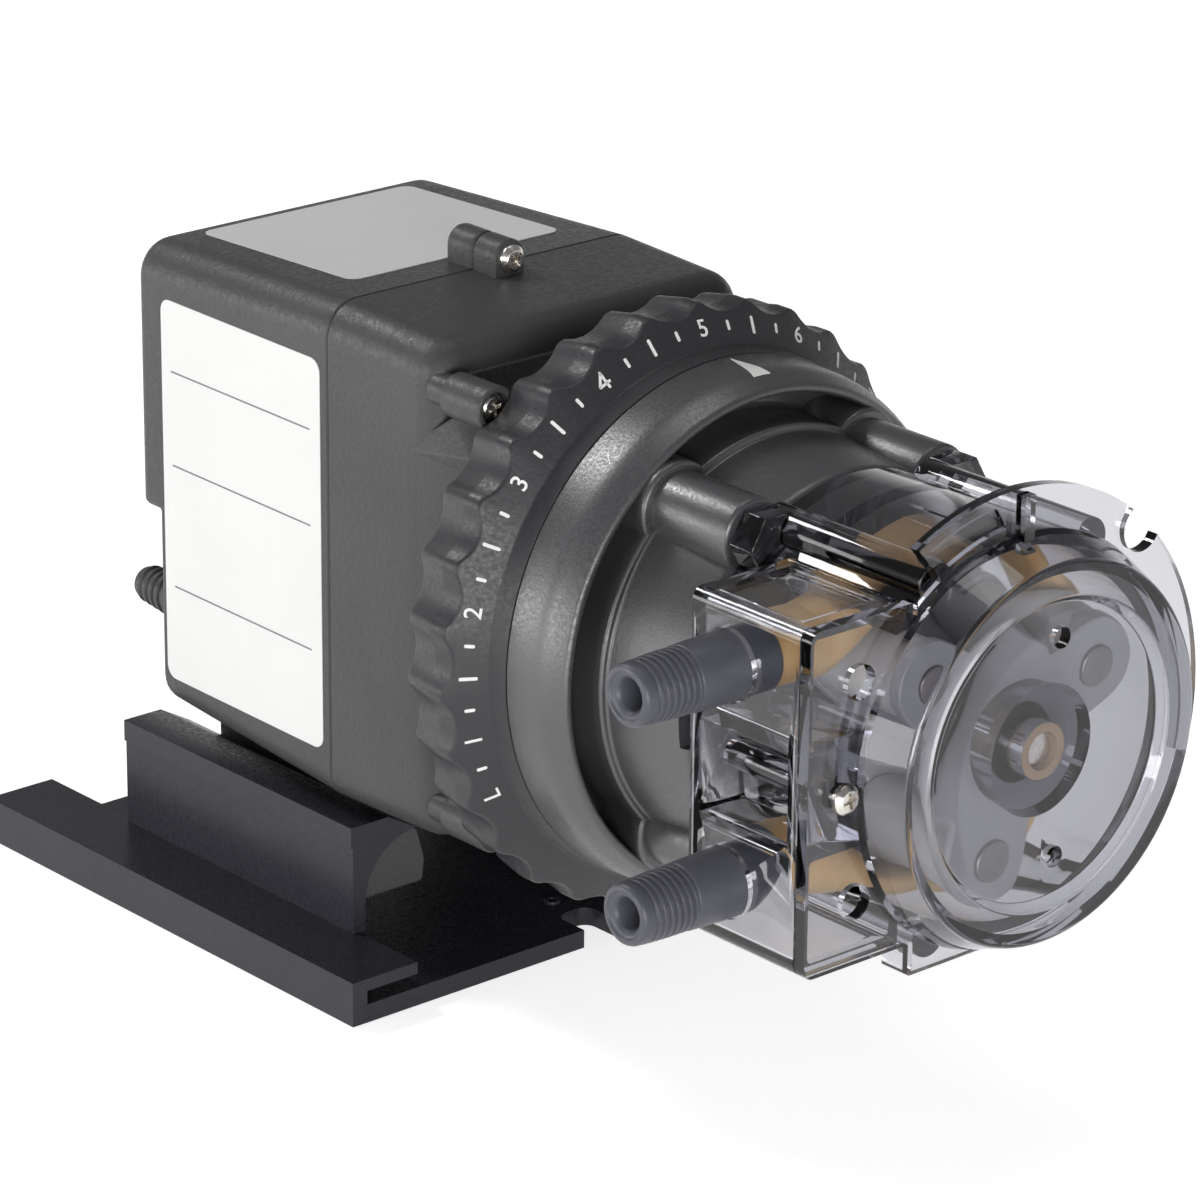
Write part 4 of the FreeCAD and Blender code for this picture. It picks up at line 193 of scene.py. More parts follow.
MAT = {
    "charcoal": plastic(
        "charcoal_plastic", (0.058, 0.058, 0.060), 0.42, grain=750.0, depth=0.00015, strength=0.9, shine=0.30
    ),
    "bell": plastic(
        "bell_plastic", (0.045, 0.045, 0.048), 0.36, grain=1500.0, depth=0.00008, strength=0.5, shine=1.0
    ),
    "dial": plastic(
        "dial_plastic", (0.028, 0.028, 0.031), 0.42, grain=1000.0, depth=0.0001, strength=0.5, shine=0.4
    ),
    "bracket": plastic(
        "bracket_plastic", (0.023, 0.023, 0.030), 0.30, grain=900.0, depth=0.000006, strength=0.15, shine=0.26
    ),
    "fitting": plastic("fitting_plastic", (0.078, 0.080, 0.095), 0.40, shine=0.35),
    "marking": plastic("white_marking", (0.82, 0.82, 0.80), 0.55, depth=0.00001),
    "label": plastic(
        "blank_label", (0.78, 0.78, 0.77), 0.42, grain=900.0, depth=0.00001, strength=0.15, uneven=0.015
    ),
    "rule": plastic("label_rule", (0.16, 0.16, 0.17), 0.5, depth=0.00001),
    "white": plastic("roller_plastic", (0.46, 0.46, 0.46), 0.38),
    "natural": plastic("gear_plastic", (0.62, 0.58, 0.47), 0.42),
    "rubber": plastic("gasket_rubber", (0.015, 0.015, 0.016), 0.7, depth=0.00004),
    "carrier": plastic("carrier_plastic", (0.30, 0.30, 0.315), 0.35),
    "clear": clear_plastic("clear_plastic", (0.80, 0.80, 0.82), 70.0),
    "cover": clear_plastic("clear_cover", (0.80, 0.80, 0.83), 108.0),
    "stainless": metal("stainless_steel", (0.72, 0.69, 0.64), 0.22),
    "pin": metal("roller_pin_steel", (0.34, 0.32, 0.32), 0.38),
    "steel": metal("ground_steel", (0.55, 0.55, 0.57), 0.32, (1, 8, 1)),
    "lamination": metal("motor_laminations", (0.30, 0.30, 0.31), 0.45, (1, 40, 1)),
    "copper": metal("enamelled_copper", (0.75, 0.33, 0.16), 0.3, (1, 30, 30)),
    "bronze": metal("sintered_bronze", (0.62, 0.36, 0.2), 0.4),
    "cast": metal("die_cast_metal", (0.6, 0.6, 0.62), 0.42),
    "tube": rubber_tube("pump_tube_rubber"),
    "bushing": plastic("bushing_plastic", (0.26, 0.17, 0.10), 0.45),
}

# Looks of the CAD nodes that no piece of this scene replaces
NODE_LOOK = {
    "rubber": ["case_gasket", "shaft_seal"],
    "stainless": ["roller_shaft", "lifter_spring"],
    "steel": [
        "gear_plate_rear", "gear_plate_front", "gear_spacers", "gear_axles", "motor_bolts", "motor_spacers",
        "bell_screws", "rotor_shaft", "index_plate", "pin_holder", "pin_lifter",
    ],
    "lamination": ["motor_stator", "rotor_core"],
    "copper": ["motor_coil"],
    "cast": ["motor_bridge_front", "motor_bridge_rear"],
    "bronze": ["motor_bearing_front", "motor_bearing_rear", "output_bearing", "shaft_bearing"],
    "natural": ["fixed_cam", "variable_cam", "first_gear", "second_gear", "output_gear"],
    "white": ["cooling_fan"],
    "bushing": ["cover_bushing"],
}
for look, names in NODE_LOOK.items():
    for node_name in names:
        mesh = NODES[node_name].data
        mesh.materials.clear()
        mesh.materials.append(MAT[look])


# Shapes


def rounded(corners, steps=6):
    """Points of an outline whose corners (a, b) or (a, b, radius) are rounded."""
    points = []
    count = len(corners)
    for i, corner in enumerate(corners):
        here = Vector(corner[:2])
        radius = corner[2] if len(corner) > 2 else 0
        if radius <= 0:
            points.append(here)
            continue
        before = (Vector(corners[i - 1][:2]) - here).normalized()
        after = (Vector(corners[(i + 1) % count][:2]) - here).normalized()
        half = before.angle(after) / 2
        if half > math.pi / 2 - 0.01:
            points.append(here)
            continue
        cut = radius / math.tan(half)
        middle = (before + after).normalized()
        centre = here + middle * (radius / math.sin(half))
        start = here + before * cut - centre
        end = here + after * cut - centre
        sweep = math.atan2(start.x * end.y - start.y * end.x, start.dot(end))
        for k in range(steps + 1):
            turn = Matrix.Rotation(sweep * k / steps, 2)
            points.append(centre + turn @ start)
    return points


def oblong(left, right, low, high, rounds=(0, 0, 0, 0)):
    """Corners of a rectangle with their roundings, anticlockwise from the lower left."""
    places = ((left, low), (right, low), (right, high), (left, high))
    return [(*place, edge_round) for place, edge_round in zip(places, rounds)]


def along_axis(axis, a, b, level):
    """Point at a level along an axis; a and b are the other two coordinates in x, y, z order."""
    return {"X": (level, a, b), "Y": (a, level, b), "Z": (a, b, level)}[axis]


def mesh_of(bm, name):
    """Mesh from a bmesh, which is used up."""
    mesh = bpy.data.meshes.new(name)
    bm.to_mesh(mesh)
    bm.free()
    return mesh


def finish_mesh(name, mesh, look, sharp=35.0):
    """Object from a mesh, with smooth shading except across sharp edges."""
    mesh.validate()
    obj = new_object(name, mesh)
    mesh.materials.append(MAT[look])
    smooth(obj, sharp)
    return obj


def smooth(obj, sharp=35.0):
    """Smooth shading except across edges sharper than an angle in degrees."""
    obj.data.shade_smooth()
    obj.data.set_sharp_from_angle(angle=math.radians(sharp))


def skin(name, rings, close_rings=True, close_ends=False, caps=False):
    """Mesh over rings of equally many points in metres."""
    bm = bmesh.new()
    rows = [[bm.verts.new(p) for p in ring] for ring in rings]
    count = len(rows[0])
    for i in range(len(rows) if close_ends else len(rows) - 1):
        one, two = rows[i], rows[(i + 1) % len(rows)]
        for j in range(count if close_rings else count - 1):
            k = (j + 1) % count
            bm.faces.new((one[j], one[k], two[k], two[j]))
    if caps:
        bm.faces.new(rows[0])
        bm.faces.new(rows[-1])
    bmesh.ops.remove_doubles(bm, verts=bm.verts, dist=1e-7)
    bmesh.ops.dissolve_degenerate(bm, edges=bm.edges, dist=1e-7)
    bmesh.ops.recalc_face_normals(bm, faces=bm.faces)
    return mesh_of(bm, name)


def from_rings(name, rings, look, sharp=35.0, **closing):
    """Object whose skin lies over rings of points in the shaft frame."""
    placed = [[spot(*p) for p in ring] for ring in rings]
    return finish_mesh(name, skin(name, placed, **closing), look, sharp)


def lathe(name, corners, look, centre=(0.0, 0.0), segments=160, steps=6, axis="Y"):
    """Closed outline of (along, radius[, rounding]) corners turned about an axis through centre."""
    outline = rounded(corners, steps)
    rings = []
    for k in range(segments):
        angle = 360 * k / segments
        rings.append([along_axis(axis, *around(angle, radius, centre), along) for along, radius in outline])
    return from_rings(name, rings, look, close_ends=True)


def prism(name, corners, axis, low, high, look, bevel=0.0, steps=8):
    """Outline of (a, b[, rounding]) corners pushed along an axis from low to high."""
    outline = rounded(corners, steps)
    rings = [[along_axis(axis, a, b, level) for a, b in outline] for level in (low, high)]
    obj = from_rings(name, rings, look, caps=True)
    if bevel:
        soften(obj, bevel)
    return obj


def soften(obj, width, steps=3, angle=35.0):
    """Round the sharp edges by a bevel of some millimetres."""
    mod = obj.modifiers.new("soften", "BEVEL")
    mod.width = width * 0.001
    mod.segments = steps
    mod.limit_method = "ANGLE"
    mod.angle_limit = math.radians(angle)
    mod.harden_normals = True
    mod.use_clamp_overlap = True
    apply(obj)


def apply(obj):
    """Replace an object's mesh by what its modifiers make."""
    bpy.context.view_layer.update()
    graph = bpy.context.evaluated_depsgraph_get()
    shown = obj.evaluated_get(graph)
    made = bpy.data.meshes.new_from_object(shown, preserve_all_data_layers=True, depsgraph=graph)
    obj.modifiers.clear()
    old = obj.data
    obj.data = made
    bpy.data.meshes.remove(old)


def combine(obj, tool, operation):
    """Boolean of an object with a tool, which is used up."""
    mod = obj.modifiers.new("combine", "BOOLEAN")
    mod.operation = operation
    mod.object = tool
    mod.solver = "EXACT"
    apply(obj)
    bpy.data.objects.remove(tool)


def cut(obj, tool):
    combine(obj, tool, "DIFFERENCE")


def fuse(obj, tool):
    combine(obj, tool, "UNION")


def join(name, objs):
    """Several meshes as one piece."""
    bm = bmesh.new()
    slots = []
    for obj in objs:
        for material in obj.data.materials:
            if material not in slots:
                slots.append(material)
    for obj in objs:
        start = len(bm.faces)
        bm.from_mesh(obj.data)
        bm.faces.ensure_lookup_table()
        local = [slots.index(m) for m in obj.data.materials]
        for face in bm.faces[start:]:
            face.material_index = local[min(face.material_index, len(local) - 1)]
    mesh = mesh_of(bm, name)
    for obj in objs:
        old = obj.data
        bpy.data.objects.remove(obj)
        bpy.data.meshes.remove(old)
    for material in slots:
        mesh.materials.append(material)
    return new_object(name, mesh)


def hull(name, points, look, bevel=0.4):
    """Convex body round some points of the shaft frame."""
    bm = bmesh.new()
    for point in points:
        bm.verts.new(spot(*point))
    made = bmesh.ops.convex_hull(bm, input=bm.verts)
    spare = [v for v in made["geom_interior"] if isinstance(v, bmesh.types.BMVert)]
    bmesh.ops.delete(bm, geom=spare, context="VERTS")
    bmesh.ops.dissolve_limit(bm, angle_limit=0.01, verts=bm.verts, edges=bm.edges)
    bmesh.ops.recalc_face_normals(bm, faces=bm.faces)
    obj = finish_mesh(name, mesh_of(bm, name), look)
    soften(obj, bevel, 3, 15)
    return obj


def rod(name, centre, radius, low, high, look, bevel=0.4, segments=48, steps=4):
    """Cylinder along the shaft's direction with rounded ends."""
    corners = [(low, 0), (low, radius, bevel), (high, radius, bevel), (high, 0)]
    return lathe(name, corners, look, centre, segments, steps)


def stands_for(obj, body, slot, *nodes):
    """Ties a piece to a body and hides the CAD nodes that it replaces. The slot argument is not used."""
    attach(obj, body)
    if nodes:
        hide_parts(*nodes)


# Places that several pieces share, in the shaft frame

CORNER_SCREW_X = 40.6
CORNER_SCREW_LEVELS = (49.1, -45.5)
CORNER_SCREW_SEAT = 26.3
TOP_SCREW_LEVEL = 63.5
TOP_SCREW_SEAT = 67.6
DIAL_BEARING = 49.0
DIAL_BACK = 22.9
POST_X = 26.0
POST_LEVEL = 35.5
HUB_END = -40.0
HOUSING_FRONT = -86.9
COVER_BACK = -87.3
PLATE_FRONT = -90.0
BLOCK_LEFT = -57.0
BLOCK_HALF_HEIGHT = 36.5
BLOCK_ROUND = 2.5
PORT_LEVEL = 23.0
TUBE_PLANE = -66.0
HEAD_SCREW_X = -47.4
ROLLER_PATH = 25.0
FIRST_ROLLER = 22.0
ROLLER_STEP = 120.0


# Bracket and foot


def at_y(y):
    """A length from the middle of the bracket's own frame, in the shaft frame."""
    return y + SEAM_SETBACK


def at_z(z):
    """A height over the bracket's underside, in the shaft frame."""
    return z - SHAFT_HEIGHT


def mirrored(side, outline):
    """Outline of (x, height[, rounding]) over the underside, on the side that its sign names."""
    return [(side * corner[0], at_z(corner[1]), *corner[2:]) for corner in outline]


RAIL_HOLLOW = 14.4
RAIL_BACK = 40.0


def make_bracket():
    """Plate with edge channels and two hooked rails, as one piece."""
    half_width = 63.4
    front = at_y(-64)
    plate_top = at_z(4.3)
    outline = oblong(-half_width, half_width, front, at_y(64), (1.5, 1.5, 0, 0))
    whole = prism("plate", outline, "Z", at_z(0), plate_top, "bracket")
    slot = oblong(2.3, 11.6, front - 6, at_y(-54), (0, 0, 3.0, 3.0))
    cut(whole, prism("slot", slot, "Z", at_z(-1), plate_top + 1.7, "bracket"))
    edge = 63.5
    lip_end = 45.5
    channel = [(edge, 0.01), (59.5, 0.01), (59.5, 7.5), (lip_end, 7.5), (lip_end, 10.3), (edge, 10.3)]
    rail_outer = 46.9
    rail_inner = 43.5
    band_outer = 47.4
    rail_top = 35.5
    rail = [
        (rail_outer, 1), (rail_inner, 1), (rail_inner, 31, RAIL_HOLLOW), (29, 31), (37, rail_top),
        (band_outer, rail_top), (band_outer, 30.5), (rail_outer, 30.5),
    ]
    for side in (-1, 1):
        fuse(whole, prism("channel", mirrored(side, channel), "Y", front + 0.05, at_y(72), "bracket"))
        hooked = mirrored(side, rail)
        fuse(whole, prism("rail", hooked, "Y", at_y(-43.4), at_y(RAIL_BACK), "bracket", steps=14))
    smooth(whole, 30)
    soften(whole, 0.5, 3, 40)
    low = at_z(3.5)
    high = at_z(5.0)
    rim = [(low, 0.9), (high, 0.9, 0.3), (high, 1.9, 0.3), (low, 1.9)]
    latch = lathe("latch_rim", rim, "bracket", (6.9, at_y(-47.5)), 48, axis="Z")
    whole = join("bracket_moulding", [whole, latch])
    stands_for(whole, "case", "charcoal_plastic", "mounting_bracket")


def make_foot():
    """Two runners under the case that fill the hooks of the rails, and the web that carries them."""
    back = 138.0
    hollow_gap = 0.4
    arc = [around(90 * k / 14, RAIL_HOLLOW - hollow_gap, (29.1, 16.6)) for k in range(15)]
    runner = [*arc, (27.2, 29.4, 1.0), (25.0, 22, 3.0), (25.6, 16.6, 1.0)]
    parts = []
    for side in (-1, 1):
        corners = mirrored(side, runner)
        parts.append(prism("runner", corners, "Y", 66.5, back, "charcoal", bevel=0.6))
    web = oblong(-28, 28, at_z(25), -54.6)
    parts.append(prism("web", web, "Y", 82, back - 0.5, "charcoal", bevel=0.6))
    stands_for(join("foot_moulding", parts), "case", "charcoal_plastic", "mounting_foot")


# Motor case

JOINT = 75.3
TAPER_FRONT = 32.0
TAPER_BACK = 146.0
CASE_HALF = 44.5
CASE_TOP = 60.0
CASE_LOW = -55.0


def case_size(y):
    """Half width, underside and top of the case at a station of its taper."""
    if y < JOINT:
        share = (JOINT - y) / (JOINT - TAPER_FRONT)
        return CASE_HALF - 0.8 * share, CASE_LOW + 1.0 * share, CASE_TOP - 1.6 * share
    share = (y - JOINT) / (TAPER_BACK - JOINT)
    return CASE_HALF - 1.4 * share, CASE_LOW + 4.6 * share, CASE_TOP - 2.4 * share


def case_ring(y, inset, edge_round=8.0):
    """Outline of the case at a station, drawn in by an inset."""
    half, low, top = case_size(y)
    radius = max(edge_round - inset, 0.6)
    corners = oblong(inset - half, half - inset, low + inset, top - inset, [radius] * 4)
    return [(x, y, z) for x, z in rounded(corners, 8)]


def case_half_shell(name, joint, end, end_round):
    """Half of the case from its joint to its rounded end face."""
    way = 1 if end > joint else -1
    seam = 0.35
    lengths = 8
    turns = 10
    stations = [(joint, seam), (joint + way * seam, 0.0)]
    straight = end - way * end_round
    for k in range(1, lengths + 1):
        stations.append((joint + (straight - joint) * k / lengths, 0.0))
    for k in range(1, turns + 1):
        a = math.pi / 2 * k / turns
        stations.append((straight + way * end_round * math.sin(a), end_round * (1 - math.cos(a))))
    rings = [case_ring(y, inset) for y, inset in stations]
    return from_rings(name, rings, "charcoal", caps=True)


def case_cheek(side):
    """Flat side of the case that runs on beside the dial, beyond the rounded front."""
    corners = []
    for y, sunk in ((24.0, 0.0), (48.0, 0.02)):
        for z in (-28, 36):
            corners += [(side * (case_size(y)[0] - sunk), y, z), (side * 38, y, z)]
    return hull("cheek", corners, "charcoal", bevel=0.6)


def screw_post(side, level):
    """Free-standing screw boss beside the dial, stepped down to its root in the case."""
    radius = 4.9
    neck = 3.6
    front = 23.4
    step = 36.4
    root = 42
    corners = [
        (CORNER_SCREW_SEAT, 0), (CORNER_SCREW_SEAT, neck), (front, neck, 0.3), (front, radius, 0.5),
        (step, radius, 0.8), (step + 0.5, neck), (root, neck), (root, 0),
    ]
    return lathe("boss", corners, "charcoal", (side * CORNER_SCREW_X, level), 64)


def gusset(side):
    """Wedge that leads from the cheek up to the upper screw boss."""
    front = 24.3
    low = 34
    high = 44.6
    inner = 37
    corners = [
        (43.9, 50.5, low - 0.1), (45.6, 26.5, 38.4), (45.6, front, 38.7), (43.8, front, 34.8),
        (42.0, 36.0, 44.4), (41.0, front, high), (inner, 50, low), (inner, front, low),
        (inner, front, high), (inner, 36, 44.4),
    ]
    return hull("gusset", [(side * x, y, z) for x, y, z in corners], "charcoal")


def top_boss(name, front, back, bevel):
    """Half of the boss for the screw on top of the case."""
    corners = oblong(-4.2, 4.2, 56, 67.7, (0, 0, 4.1, 4.1))
    return prism(name, corners, "Y", front, back, "charcoal", bevel=bevel, steps=10)


def make_front_case():
    """Gear case: rounded front, neck behind the dial, cheeks, screw bosses and gussets."""
    seam_front = JOINT - 0.1
    rim_back = 24.6
    rim = DIAL_BEARING - 0.1
    neck = [(23.3, 0), (23.3, rim, 0.3), (rim_back, rim, 0.3), (rim_back, 43.0), (42, 43.0), (42, 0)]
    parts = [case_half_shell("case_front", seam_front, 39.3, 6.6), lathe("neck", neck, "charcoal")]
    for side in (-1, 1):
        parts.append(case_cheek(side))
        for level in CORNER_SCREW_LEVELS:
            parts.append(screw_post(side, level))
        parts.append(gusset(side))
    parts.append(top_boss("screw_boss_front", TOP_SCREW_SEAT, seam_front, 0.5))
    whole = join("gear_case_moulding", parts)
    stands_for(whole, "case", "charcoal_plastic", "gear_case_front")


def make_rear_case():
    """Motor case with the step across its rear face."""
    seam_back = JOINT + 0.1
    rear = case_half_shell("case_rear", seam_back, TAPER_BACK, 3.6)
    step = oblong(138.5, 160, -70, -4)
    cut(rear, prism("step", step, "X", -60, 60, "charcoal"))
    smooth(rear, 40)
    soften(rear, 1.6, 4, 50)
    tail = top_boss("screw_boss_rear", seam_back, 84.5, 1.2)
    whole = join("motor_case_moulding", [rear, tail])
    stands_for(whole, "case", "charcoal_plastic", "motor_case_rear")


def pan_screw(name, x, y, z, turn):
    """Pan head with a cross recess, facing -Y, its seat at y."""
    radius = 3.2
    height = 2.1
    recess_depth = 1.25
    front = y - height
    corners = [
        (front, 0), (front, radius * 0.68, 0.5), (y - height * 0.5, radius, 0.5), (y, radius),
        (y + 0.3, radius * 0.6), (y + 0.3, 0),
    ]
    head = lathe(name, corners, "stainless", (x, z), 64)
    long = radius * 0.58
    wide = radius * 0.12
    for extra in (0, 90):
        spin = Matrix.Rotation(math.radians(turn + extra), 2)
        slot = [Vector((x, z)) + spin @ Vector(corner[:2]) for corner in oblong(-long, long, -wide, wide)]
        cut(head, prism("cross", slot, "Y", front - 1, front + recess_depth, "stainless"))
    smooth(head)
    return head


def make_screws():
    """Heads of all the screws, each turned its own way."""
    heads = []
    for level in CORNER_SCREW_LEVELS:
        for side in (-1, 1):
            place = (side * CORNER_SCREW_X, CORNER_SCREW_SEAT, level)
            heads.append(pan_screw("corner_head", *place, 15 + 37 * len(heads)))
    stands_for(join("corner_screw_heads", heads), "case", "stainless", "corner_screws")
    top = pan_screw("top_screw_head", 0, TOP_SCREW_SEAT, TOP_SCREW_LEVEL, 40)
    stands_for(top, "case", "stainless", "top_screw")
    middle = pan_screw("head_screw_head", HEAD_SCREW_X, PLATE_FRONT, 0, 10)
    stands_for(middle, "case", "stainless", "head_screw")


def make_gland():
    """Small ribbed cord gland low on the rear face."""
    centre = (-36, -27)
    seat = 138.3
    collar = 5.7
    bore_end = 150
    tip = 154.2
    corners = [
        (seat, 0), (seat, collar, 0.4), (141, collar, 0.8), (141.2, 4.7), (tip, 3.7, 1.4), (tip, 1.7, 0.3),
        (bore_end, 1.6), (bore_end, 0),
    ]
    parts = [lathe("gland_body", corners, "charcoal", centre, 64)]
    for k in range(4):
        y = 143.2 + 2.5 * k
        parts.append(rod("gland_rib", centre, 5.1 - 0.23 * k, y, y + 1.2, "charcoal", bevel=0.5))
    stands_for(join("cord_gland_moulding", parts), "case", "charcoal_plastic", "cord_gland")


# Dial

SCALLOPS = 30
CREST_AT = 3.7
CREST_RADIUS = 67.0
VALLEY_RADIUS = 64.8
CREST_ROUND = 3.0
FACE_INNER = (4.3, 58.6)
FACE_OUTER = (9.7, CREST_RADIUS)
FACE_SLOPE = (FACE_OUTER[0] - FACE_INNER[0]) / (FACE_OUTER[1] - FACE_INNER[1])
FACE_TILT = math.atan(FACE_SLOPE)
MARK_RADIUS = 62.2
DIGIT_SIZE = 5.3
TICK_WIDTH = 0.75


def dial_limit(angle):
    """Outline radius of the dial's wavy rim at an angle: round crests joined by tangent hollows."""
    half = math.radians(180 / SCALLOPS)
    a = math.radians(angle - CREST_AT)
    turn = (a + half) % (2 * half) - half
    from_valley = half - abs(turn)
    reach = CREST_RADIUS - CREST_ROUND
    side = reach * math.sin(half)
    up = VALLEY_RADIUS - reach * math.cos(half)
    valley_round = (side**2 + up**2 - CREST_ROUND**2) / (2 * (CREST_ROUND - up))
    centre = VALLEY_RADIUS + valley_round
    crest_level = reach * math.cos(half)
    part = valley_round / (valley_round + CREST_ROUND)
    split = math.atan2(side * part, centre - (centre - crest_level) * part)
    if from_valley < split:
        s = centre * math.sin(from_valley)
        return centre * math.cos(from_valley) - math.sqrt(valley_round**2 - s**2)
    s = reach * math.sin(abs(turn))
    return reach * math.cos(turn) + math.sqrt(CREST_ROUND**2 - s**2)


def make_dial():
    """Ring with a sloping number face and a scalloped rim that tapers to the rear, and its stop tab."""
    bore = 49.3
    front = 0.15
    taper = 1.6
    steps_per_scallop = 24
    count = SCALLOPS * steps_per_scallop
    rings = []
    for k in range(count):
        angle = 360 * k / count
        limit = dial_limit(angle)
        edge_y = FACE_INNER[0] + (limit - FACE_INNER[1]) * FACE_SLOPE
        corners = [
            (front, bore), (front, 57.7, 0.25), (*FACE_INNER, 0.8), (edge_y, limit, 1.3),
            (14.0, limit, 4), (DIAL_BACK, limit - taper, 1.0), (DIAL_BACK, bore),
        ]
        rings.append([polar(angle, radius, y) for y, radius in rounded(corners, 5)])
    body = from_rings("dial_body", rings, "dial", 40, close_ends=True)
    tab = prism("dial_tab", oblong(-3, 3, 46, 51), "Y", 9.3, 13.7, "dial", bevel=0.3)
    stands_for(join("dial_moulding", [body, tab]), "dial", "charcoal_plastic", "dial_ring")


def face_matrix(angle):
    """Frame on the dial's number face: x along the rim, y outwards along the face, z out of it."""
    a = math.radians(angle)
    y = FACE_INNER[0] + (MARK_RADIUS - FACE_INNER[1]) * math.tan(FACE_TILT)
    out = Vector((math.cos(a), 0, math.sin(a)))
    up = out * math.cos(FACE_TILT) + Vector((0, 1, 0)) * math.sin(FACE_TILT)
    along = Vector((math.sin(a), 0, -math.cos(a)))
    matrix = Matrix((along, up, along.cross(up))).transposed().to_4x4()
    matrix.translation = spot(*polar(angle, MARK_RADIUS, y))
    return matrix


def text_mesh(words):
    """Slightly raised figure in the built-in font, centred on its own frame."""
    curve = bpy.data.curves.new("digit", "FONT")
    curve.body = words
    curve.size = DIGIT_SIZE * 0.001
    curve.align_x = "CENTER"
    curve.align_y = "CENTER"
    curve.extrude = 0.00008
    curve.bevel_depth = 0.00001
    curve.offset = 0.00003
    obj = new_object("digit", curve)
    bpy.context.view_layer.update()
    graph = bpy.context.evaluated_depsgraph_get()
    mesh = bpy.data.meshes.new_from_object(obj.evaluated_get(graph))
    bpy.data.objects.remove(obj)
    return mesh


def tick_mesh(width, length):
    """Raised stroke with round ends, drawn about its own middle."""
    low = -0.06
    high = 0.07
    end_steps = 8
    half = length / 2 - width / 2
    points = []
    for sign in (1, -1):
        for k in range(end_steps + 1):
            a = math.pi * k / end_steps
            points.append((sign * width / 2 * math.cos(a), sign * (half + width / 2 * math.sin(a))))
    rings = [[Vector((x, y, level)) * 0.001 for x, y in points] for level in (low, high)]
    return skin("tick", rings, caps=True)


def four_mesh():
    """The digit four from three strokes, so that its counter stays open."""
    width = 0.62
    top = DIGIT_SIZE * 0.66 / 2
    stem = 0.55
    left = -1.25
    bar = -0.75
    strokes = (
        ((stem, -top), (stem, top)),
        ((stem, top - 0.2), (left, bar + 0.2)),
        ((left, bar), (1.3, bar)),
    )
    bm = bmesh.new()
    for start, end in strokes:
        a = Vector((*start, 0))
        b = Vector((*end, 0))
        stroke = tick_mesh(width, (b - a).length + width)
        turn = Vector((0, 1, 0)).rotation_difference(b - a).to_matrix().to_4x4()
        stroke.transform(Matrix.Translation((a + b) * 0.0005) @ turn)
        bm.from_mesh(stroke)
    return mesh_of(bm, "four")


def put_mark(mesh, angle, name):
    """Object from a mark's mesh, laid on the number face."""
    mesh.transform(face_matrix(angle))
    mesh.materials.clear()
    mesh.materials.append(MAT["marking"])
    return new_object(name, mesh)


def make_dial_marks():
    """Numbers 1 to 10 with a long tick halfway and short ones between, and the L at the low end."""
    step = 6.54
    first = 193.4
    highest = 10
    short = 2.3
    long = 4.0
    marks = [put_mark(text_mesh("L"), first + 2 * step, "digit")]
    marks.append(put_mark(tick_mesh(TICK_WIDTH, short), first + step, "tick"))
    for number in range(1, highest + 1):
        angle = first - 4 * step * (number - 1)
        digit = four_mesh() if number == 4 else text_mesh(str(number))
        marks.append(put_mark(digit, angle, "digit"))
        if number < highest:
            for k, length in ((1, short), (2, long), (3, short)):
                marks.append(put_mark(tick_mesh(TICK_WIDTH, length), angle - k * step, "tick"))
    stands_for(join("dial_marks", marks), "dial", None)


# Bell


def bell_outline():
    """Half section of the bell: spigot, curved outer wall, groove, hub and its bore."""
    spigot = 46.0
    bore = 9.05
    recess = 12.0
    return [
        (DIAL_BACK, DIAL_BEARING), (-0.15, DIAL_BEARING), (-0.15, 57.7, 0.3), (-10, 57.3, 12.0),
        (-15.7, 54.6, 1.6), (-15.5, 53.0, 0.8), (-4.0, 52.6, 2.2), (-4.0, 47.4, 1.5), (-17.4, 47.0, 0.9),
        (-17.5, 45.5, 0.8), (HUB_END, 43.3, 2.4), (HUB_END, bore), (-29.0, bore), (-29.0, recess),
        (-36.6, recess), (-36.6, 39.9, 2.0), (-1, 42.0), (2.5, spigot), (DIAL_BACK, spigot),
    ]


def make_bell():
    """Bell with its four posts, the window beside the block, and the pointer on its wall."""
    outline = bell_outline()
    body = lathe("bell_body", outline, "bell", segments=240, steps=8)
    window = oblong(-45.6, -39.5, -6.9, 2.4, [1.4] * 4)
    cut(body, prism("latch_window", window, "Y", -45, -37.4, "bell"))
    smooth(body)
    parts = [body]
    for side in (-1, 1):
        for end in (-1, 1):
            centre = (side * POST_X, end * POST_LEVEL)
            parts.append(rod("bell_post", centre, 8.0, HUB_END, -2.5, "bell", bevel=1.0, segments=64))
            parts.append(rod("post_root", centre, 9.8, -17.4, -2.5, "bell", bevel=0.9, segments=64))
    parts.append(bell_pointer(outline))
    stands_for(join("bell_moulding", parts), "case", "charcoal_plastic", "bell_housing")


def bell_pointer(outline):
    """White pointer that lies on the bell's curved wall, its tip towards the dial."""
    wall = [p for p in rounded(outline, 8) if -14 < p.x < 0 and p.y > 54]
    wall.sort(key=lambda p: p.x)

    def on_wall(x, y, lift):
        """Point over the wall, by straight lines between the points of its outline."""
        radius = wall[0].y
        for one, two in zip(wall, wall[1:]):
            if one.x <= y <= two.x:
                radius = one.y + (two.y - one.y) * (y - one.x) / (two.x - one.x)
        return (x, y, math.sqrt((radius + lift) ** 2 - x**2))

    tip = -1.6
    base = -11.4
    middle = 1.7
    base_half = 2.3
    steps = 12
    across = 4
    rings = []
    for i in range(steps + 1):
        y = tip + (base - tip) * i / steps
        half = base_half * i / steps
        places = [middle + half * (2 * j / across - 1) for j in range(across + 1)]
        under = [on_wall(x, y, -0.3) for x in places]
        over = [on_wall(x, y, 0.1) for x in places]
        rings.append([*under, *reversed(over)])
    return from_rings("pointer", rings, "marking", caps=True)


# Pump head

